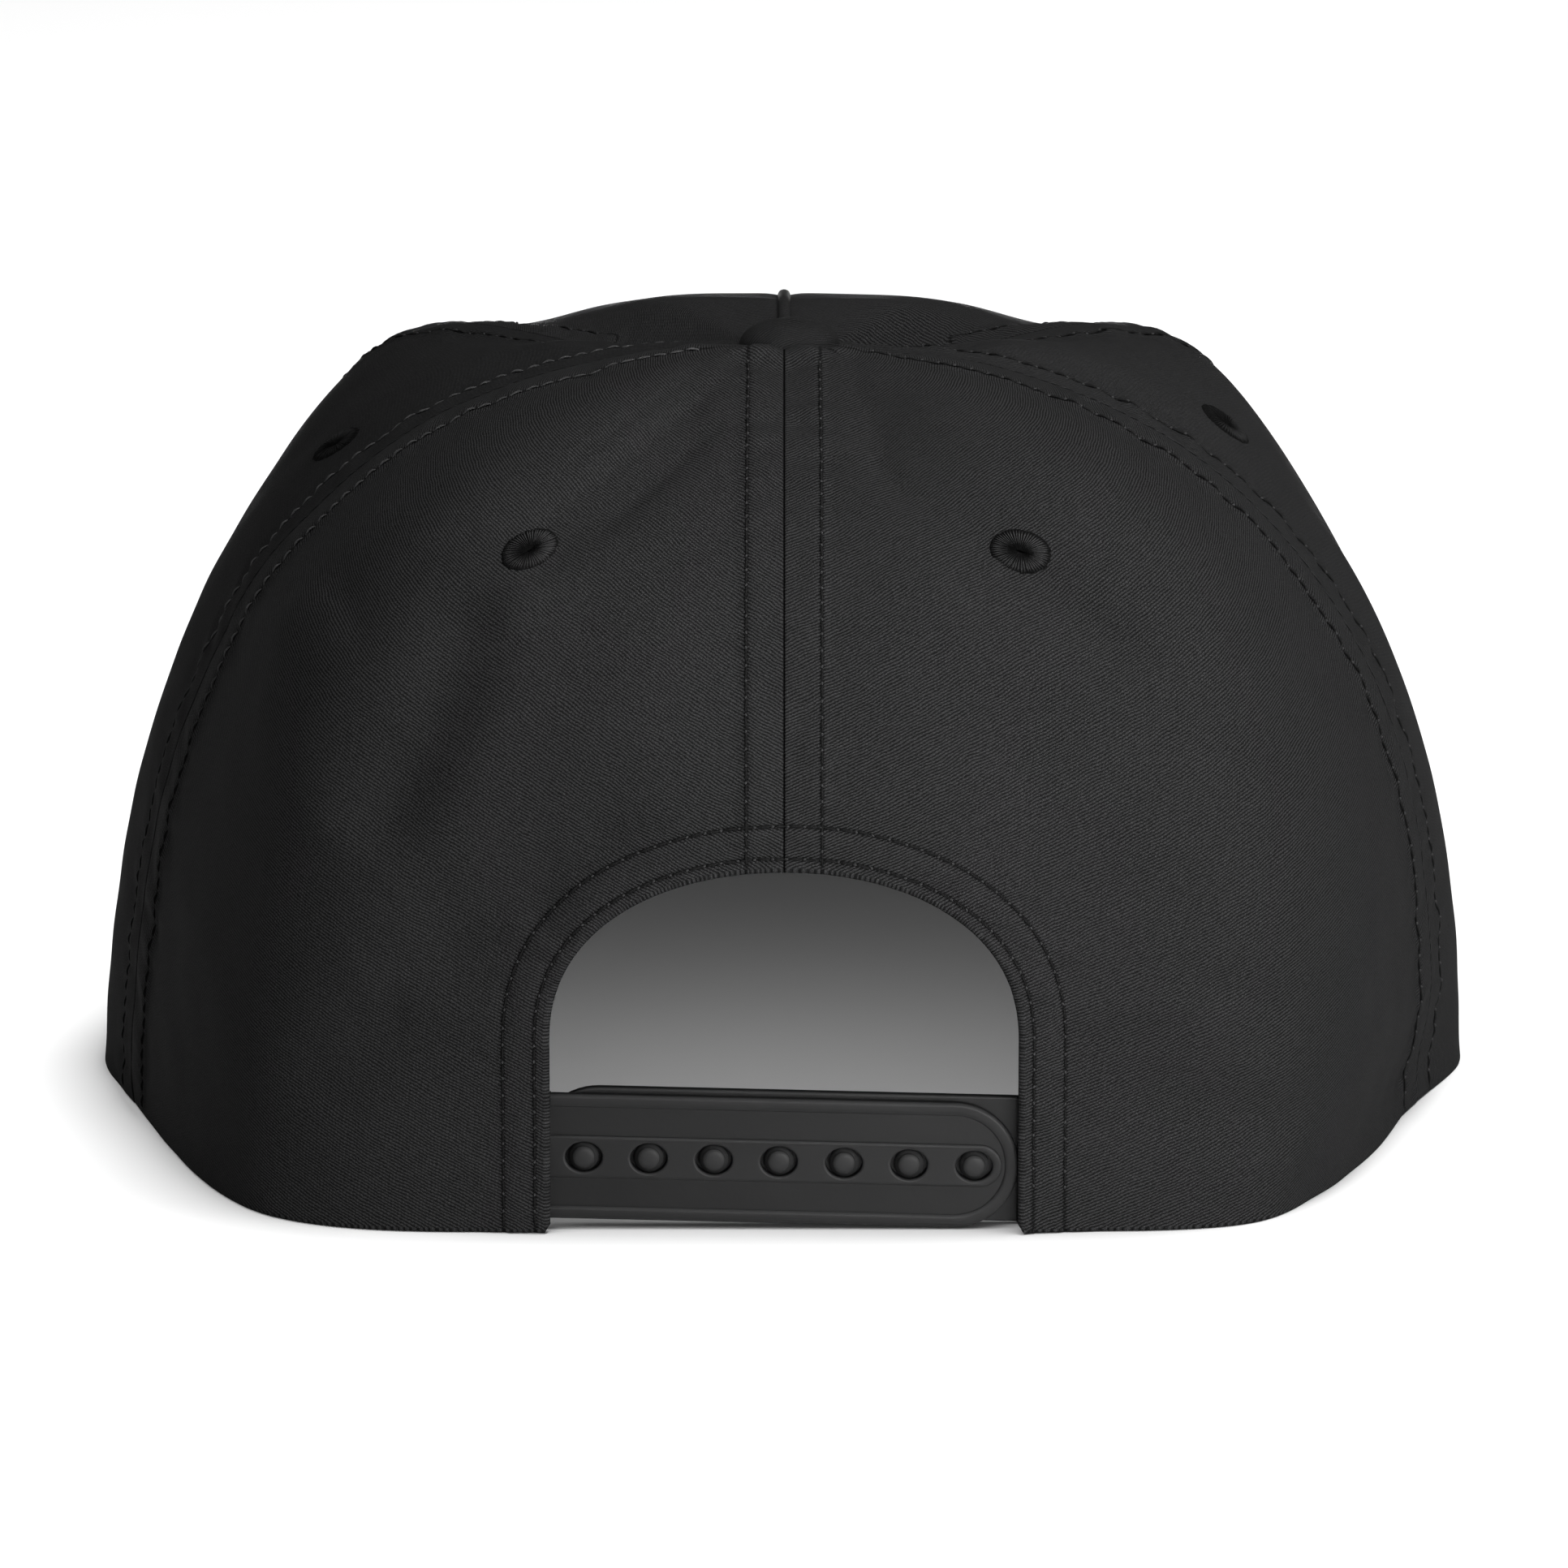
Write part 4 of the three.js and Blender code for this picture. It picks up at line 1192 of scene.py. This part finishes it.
def peak_piece():
    edge_part = np.linspace(PEAK_EDGE_SHARE, 0, 8)[1:]
    middle = peak_grid(1 - np.concatenate([np.linspace(1, PEAK_EDGE_SHARE, 90), edge_part]))
    from_edge = lengths_along(middle[:, ::-1].swapaxes(0, 1)).T[:, ::-1]
    half = PEAK_THICKNESS / 2
    edge = half * np.sqrt(1 - np.clip(1 - from_edge / half, 0, 1) ** 2)
    centre = middle - (0, 0, half)
    groove = sum(PEAK_GROOVE * hump(from_edge - row, PEAK_GROOVE_WIDTH) for row in PEAK_ROWS)
    thick = np.maximum(edge - np.where(from_edge > 2, groove, 0), 0.02)
    up = thick[..., None] * (0, 0, 1)
    outer, inner = centre + up, centre - up
    faces = grid_faces(*middle.shape[:2])[:, ::-1].tolist()
    fields = {"cloth": vectors(middle[..., 0], middle[..., 1], 0)}
    points, faces, fields = closed_sheet(outer, inner, faces, 0 * outer, fields, 2)
    material = cloth_material("twill_peak", 20, CLOTH_DARK, CLOTH_LIGHT)
    piece("covered_peak", points, faces, material, "cloth", ["peak"], fields)
    rows = []
    for row in PEAK_ROWS:
        for sheet, sign in ((outer, 1), (inner, -1)):
            lines = [(gaps, line) for gaps, line in zip(from_edge, sheet) if gaps[0] > row + 3]
            path = np.array([sampled(-row, -gaps, line) for gaps, line in lines])
            rows.append((path, np.tile((0.0, 0.0, sign), (len(path), 1)), row + sign + 1))
    piece("peak_stitches", *stitch_mesh(rows, **PEAK_STITCH), THREAD, "thread")


def turned(a, b, angle):
    return a * np.cos(angle) + b * np.sin(angle), -a * np.sin(angle) + b * np.cos(angle)


def strap_place(points):
    """From the strap's own frame (x along it, y into the cap, z up) to the crown's frame."""
    x, y, z = np.moveaxis(np.asarray(points, float), -1, 0)
    x, z = turned(x, z, STRAP_TILT)
    y, z = turned(y, z, STRAP_LEAN)
    return np.stack([x, y + STRAP_FACE_Y, z + STRAP_CENTRE_Z], -1)


def strip_outline(from_x, round_x, half):
    """Points (x, z) of a strip that is square at one end and round at the other."""
    turn = np.sign(round_x - from_x)
    centre = round_x - turn * half
    angle = np.linspace(-np.pi / 2, np.pi / 2, END_POINTS)
    x = np.concatenate([[from_x], centre + turn * half * np.cos(angle), [from_x]])
    z = np.concatenate([[-half], half * np.sin(angle), [half]])
    return np.column_stack([x, z])


def hole_outline(x):
    angle = around(HOLE_POINTS)
    return np.column_stack([x + HOLE_HALF_WIDTH * np.cos(angle), HOLE_HALF_HEIGHT * np.sin(angle)])


def inset(outline, distance):
    """The outline moved towards its left: outer outlines run anticlockwise and holes clockwise."""
    run = np.roll(outline, -1, 0) - np.roll(outline, 1, 0)
    return outline + unit(np.stack([-run[:, 1], run[:, 0]], 1)) * distance


def filled(rings):
    """Triangles that fill the first ring around the others, anticlockwise."""
    flat = np.concatenate(rings)
    faces = []
    for a, b, c in tessellate_polygon([[Vector((x, z, 0)) for x, z in ring] for ring in rings]):
        turn = np.cross(flat[b] - flat[a], flat[c] - flat[a])
        faces.append([a, b, c] if turn > 0 else [a, c, b])
    return faces


def moulded(outline, front, back, bevel, holes=(), tone=CHANNEL_TONE):
    """Points, faces and tones of a flat moulding between two depths with rounded edges, whose tones paint
    a highlight along those edges.
    """
    outlines = [outline, *[hole[::-1] for hole in holes]]
    angle = np.linspace(np.pi / 2, 0, BEVEL_STEPS + 1)
    curl = np.column_stack([bevel * (1 - np.cos(angle)), bevel * (1 - np.sin(angle))])
    profile = [(inward, front + deep) for inward, deep in curl]
    profile += [(inward, back - deep) for inward, deep in curl[::-1]]
    count = sum(len(o) for o in outlines)
    layers = []
    for inward, depth in profile:
        ring = np.concatenate([inset(o, inward) for o in outlines])
        layers.append(np.column_stack([ring[:, 0], np.full(len(ring), depth), ring[:, 1]]))
    face = filled([inset(o, bevel) for o in outlines])
    last = (len(profile) - 1) * count
    faces = face + [[last + a for a in reversed(triangle)] for triangle in face]
    first = 0
    for o in outlines:
        for i in range(len(o)):
            a, b = first + i, first + (i + 1) % len(o)
            for level in range(len(profile) - 1):
                near, far = level * count, (level + 1) * count
                faces.append([near + a, far + a, far + b, near + b])
        first += len(o)
    # Painted highlight on the rounded edges
    lit = (0, 1, BEVEL_STEPS / 2, BEVEL_STEPS, BEVEL_STEPS + 1)
    shine = np.interp(np.arange(len(profile)), lit, (0, 0.6, 1, 0.2, 0))
    return np.concatenate(layers), faces, tone + np.repeat(EDGE_HIGHLIGHT_TONE * shine, count)


def joined(parts):
    """One mesh of parts that are each points, faces and tones."""
    points, faces, tones, count = [], [], [], 0
    for part_points, part_faces, part_tones in parts:
        points.append(part_points)
        faces += [[a + count for a in face] for face in part_faces]
        tones.append(np.broadcast_to(part_tones, len(part_points)))
        count += len(part_points)
    tones = np.concatenate(tones)
    return np.concatenate(points), faces, {"tone": np.stack([tones] * 3, -1)}


def tail(side, start, rise):
    """The sewn end of a strip, which follows the cloth out of sight."""
    inner = TAIL_BEND_X - TAIL_LINK
    plan = np.array([(inner, start), (TAIL_BEND_X, 0), (TAIL_END_X, TAIL_TURN)])
    x = np.linspace(inner, TAIL_END_X, TAIL_COUNT)
    front = np.interp(x, plan[:, 0], plan[:, 1])
    half = STRAP_HEIGHT / 2
    ring = np.array([(0, -half), (0, half), (STRAP_THICKNESS, half), (STRAP_THICKNESS, -half)])
    points = vectors((side * x)[:, None], front[:, None] + ring[:, 0], ring[:, 1] + rise)
    last = list(range(len(points) - len(ring), len(points)))
    faces = loop_faces(TAIL_COUNT, len(ring)).tolist() + [[3, 2, 1, 0], last]
    if side < 0:
        faces = [face[::-1] for face in faces]
    return points, faces, CHANNEL_TONE


def peg(x, depth):
    """A domed peg that stands in a hole."""
    angle = np.linspace(0, np.pi / 2, 9)[1:]
    radius = np.concatenate([[PEG_COLLAR_R, PEG_COLLAR_R, PEG_R, PEG_R], PEG_R * np.cos(angle) ** 0.5])
    dome = PEG_DOME_Y - (PEG_DOME_Y + PEG_PROUD) * np.sin(angle)
    y = np.concatenate([[depth, PEG_COLLAR_Y, PEG_COLLAR_Y, PEG_DOME_Y], dome])
    # Painted sheen on the dome, painted light on the collar and root against the hole's shade
    tones = np.where(y < PEG_COLLAR_Y, PEG_SHEEN_TONE, COLLAR_PAINTED_LIGHT)
    theta = around(PEG_SIDES)
    points = vectors(x + radius[:, None] * np.cos(theta), y[:, None], radius[:, None] * np.sin(theta))
    return points, loop_faces(len(y), PEG_SIDES).tolist(), np.repeat(tones, PEG_SIDES)


def strip_piece(name, parts, node):
    """A strip of the strap, whose large flat faces stay flat under smooth shading."""
    points, faces, fields = joined(parts)
    made = piece(name, strap_place(points), faces, PLASTIC, "strap_plastic", [node], fields)
    made.modifiers.new("even", "WEIGHTED_NORMAL")


def strap_pieces():
    half = STRAP_HEIGHT / 2
    start = -TAIL_BEND_X + 2
    hole_x = [FIRST_HOLE_X + i * HOLE_PITCH for i in range(HOLE_COUNT)]
    holes = [hole_outline(x) for x in hole_x]
    outside = strip_outline(start, HOLES_END_X, half)
    inside = strip_outline(start, HOLES_END_X - STRAP_BORDER, half - STRAP_BORDER)
    plate = moulded(inset(outside, PLATE_INSET), STRAP_RELIEF, STRAP_THICKNESS, PLATE_BEVEL, holes)
    border = np.concatenate([outside, inside[::-1]])
    border = moulded(border, 0, STRAP_THICKNESS, BORDER_BEVEL, tone=RAISED_PAINTED_LIGHT)
    band = strip_outline(start, HOLES_END_X - STRAP_BORDER - BAND_END_GAP, STRAP_BAND / 2)
    band = moulded(band, 0, STRAP_RELIEF + BAND_ROOT, BAND_BEVEL, holes, tone=RAISED_PAINTED_LIGHT)
    strip_piece("outer_strip", [plate, border, band, tail(-1, 0, 0)], "strap_holes")
    depth = STRAP_THICKNESS + STRAP_GAP
    under = strip_outline(TAIL_BEND_X - TAIL_LINK + 0.5, PEGS_END_X, half)[::-1]
    points, faces, tones = moulded(under, depth, depth + STRAP_THICKNESS, UNDER_BEVEL)
    under = (points + (0, 0, PEGS_RISE), faces, tones)
    pegs = [peg(x, depth + PEG_ROOT) for x in hole_x]
    strip_piece("inner_strip", [under, tail(1, depth, PEGS_RISE), *pegs], "strap_pegs")


def make_floor():
    mesh = bpy.data.meshes.new("floor")
    corners = [(x * FLOOR_HALF, y * FLOOR_HALF, 0) for x, y in ((-1, -1), (1, -1), (1, 1), (-1, 1))]
    mesh.from_pydata(corners, [], [[0, 1, 2, 3]])
    floor = added("floor", mesh)
    n = Nodes("floor_white")
    mesh.materials.append(n.set(Base_Color=(0.8, 0.8, 0.8, 1), Roughness=0.9, Specular_IOR_Level=0.1,
                                Emission_Color=(1, 1, 1, 1), Emission_Strength=0.02))
    floor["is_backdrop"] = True
    return floor


def aim(holder, position, target):
    holder.location = place(position)
    way = Vector(place(target)) - Vector(place(position))
    holder.rotation_euler = way.to_track_quat("-Z", "Y").to_euler()


def area_light(name, position, target, size, watts, lit, spread):
    """A soft light, in mm, that lights the objects of one collection."""
    light = bpy.data.lights.new(name, "AREA")
    light.shape = "RECTANGLE"
    light.size, light.size_y = size[0] * MM, size[1] * MM
    light.energy = watts
    light.spread = np.radians(spread)
    holder = added(name, light)
    aim(holder, position, target)
    holder.visible_camera = False
    holder.light_linking.receiver_collection = lit


def make_lights(floor):
    scene = bpy.context.scene
    scene.world = bpy.data.worlds.new("studio")
    scene.world.use_nodes = True
    background = scene.world.node_tree.nodes["Background"]
    background.inputs["Color"].default_value = (1, 1, 1, 1)
    background.inputs["Strength"].default_value = WORLD_STRENGTH
    lit = {}
    for name, shown in (("ground", [floor]), ("cap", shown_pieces())):
        lit[name] = bpy.data.collections.new(name)
        for made in shown:
            lit[name].objects.link(made)
    for name, (position, target, size, watts, group, spread) in LIGHTS.items():
        area_light(name, position, target, size, watts, lit[group], spread)
    scene.view_settings.view_transform = "Standard"


def make_camera():
    camera = bpy.data.cameras.new("camera")
    camera.sensor_width = SENSOR
    camera.lens = SENSOR * CAMERA_DISTANCE * PIXELS_PER_MM / PHOTO_SIZE
    camera.clip_start, camera.clip_end = CAMERA_CLIP
    holder = added("camera", camera)
    back = np.array([0, -np.cos(CAMERA_ELEVATION), np.sin(CAMERA_ELEVATION)]) * CAMERA_DISTANCE
    target = np.array([0, 0, CAMERA_TARGET_Z])
    aim(holder, target + back, target)
    bpy.context.scene.camera = holder


make_camera()
for number, name in enumerate(PANELS):
    panel_piece(name, number)
seam_lines = seam_rows(SEAMS[:4])
left_lines = seam_rows(SEAMS[4:])
hem_lines = [hem_row(row) for row in HEM_ROWS]
piece("seam_stitches", *stitch_mesh(seam_lines, SEAM_LIFT), THREAD, "thread")
# Left seam stitches in the thread with a painted highlight
piece("left_stitches", *stitch_mesh(left_lines, LEFT_LIFT), THREAD_PAINTED_HIGHLIGHT, "thread")
piece("hem_stitches", *stitch_mesh(hem_lines, HEM_LIFT), THREAD, "thread")
# Specks between the stitches, in the thread with painted glints
specks = stitch_mesh(seam_lines + hem_lines, SPECK_LIFT, SPECK_LENGTH, middle=BETWEEN_STITCHES)
piece("stitch_loop_glints", *specks, THREAD_LOOP_GLINT, "thread")
for number, name in enumerate(EYELETS):
    eyelet_piece(name, EYELET_SEED + number)
button_piece()
band_piece()
peak_piece()
strap_pieces()
make_lights(make_floor())
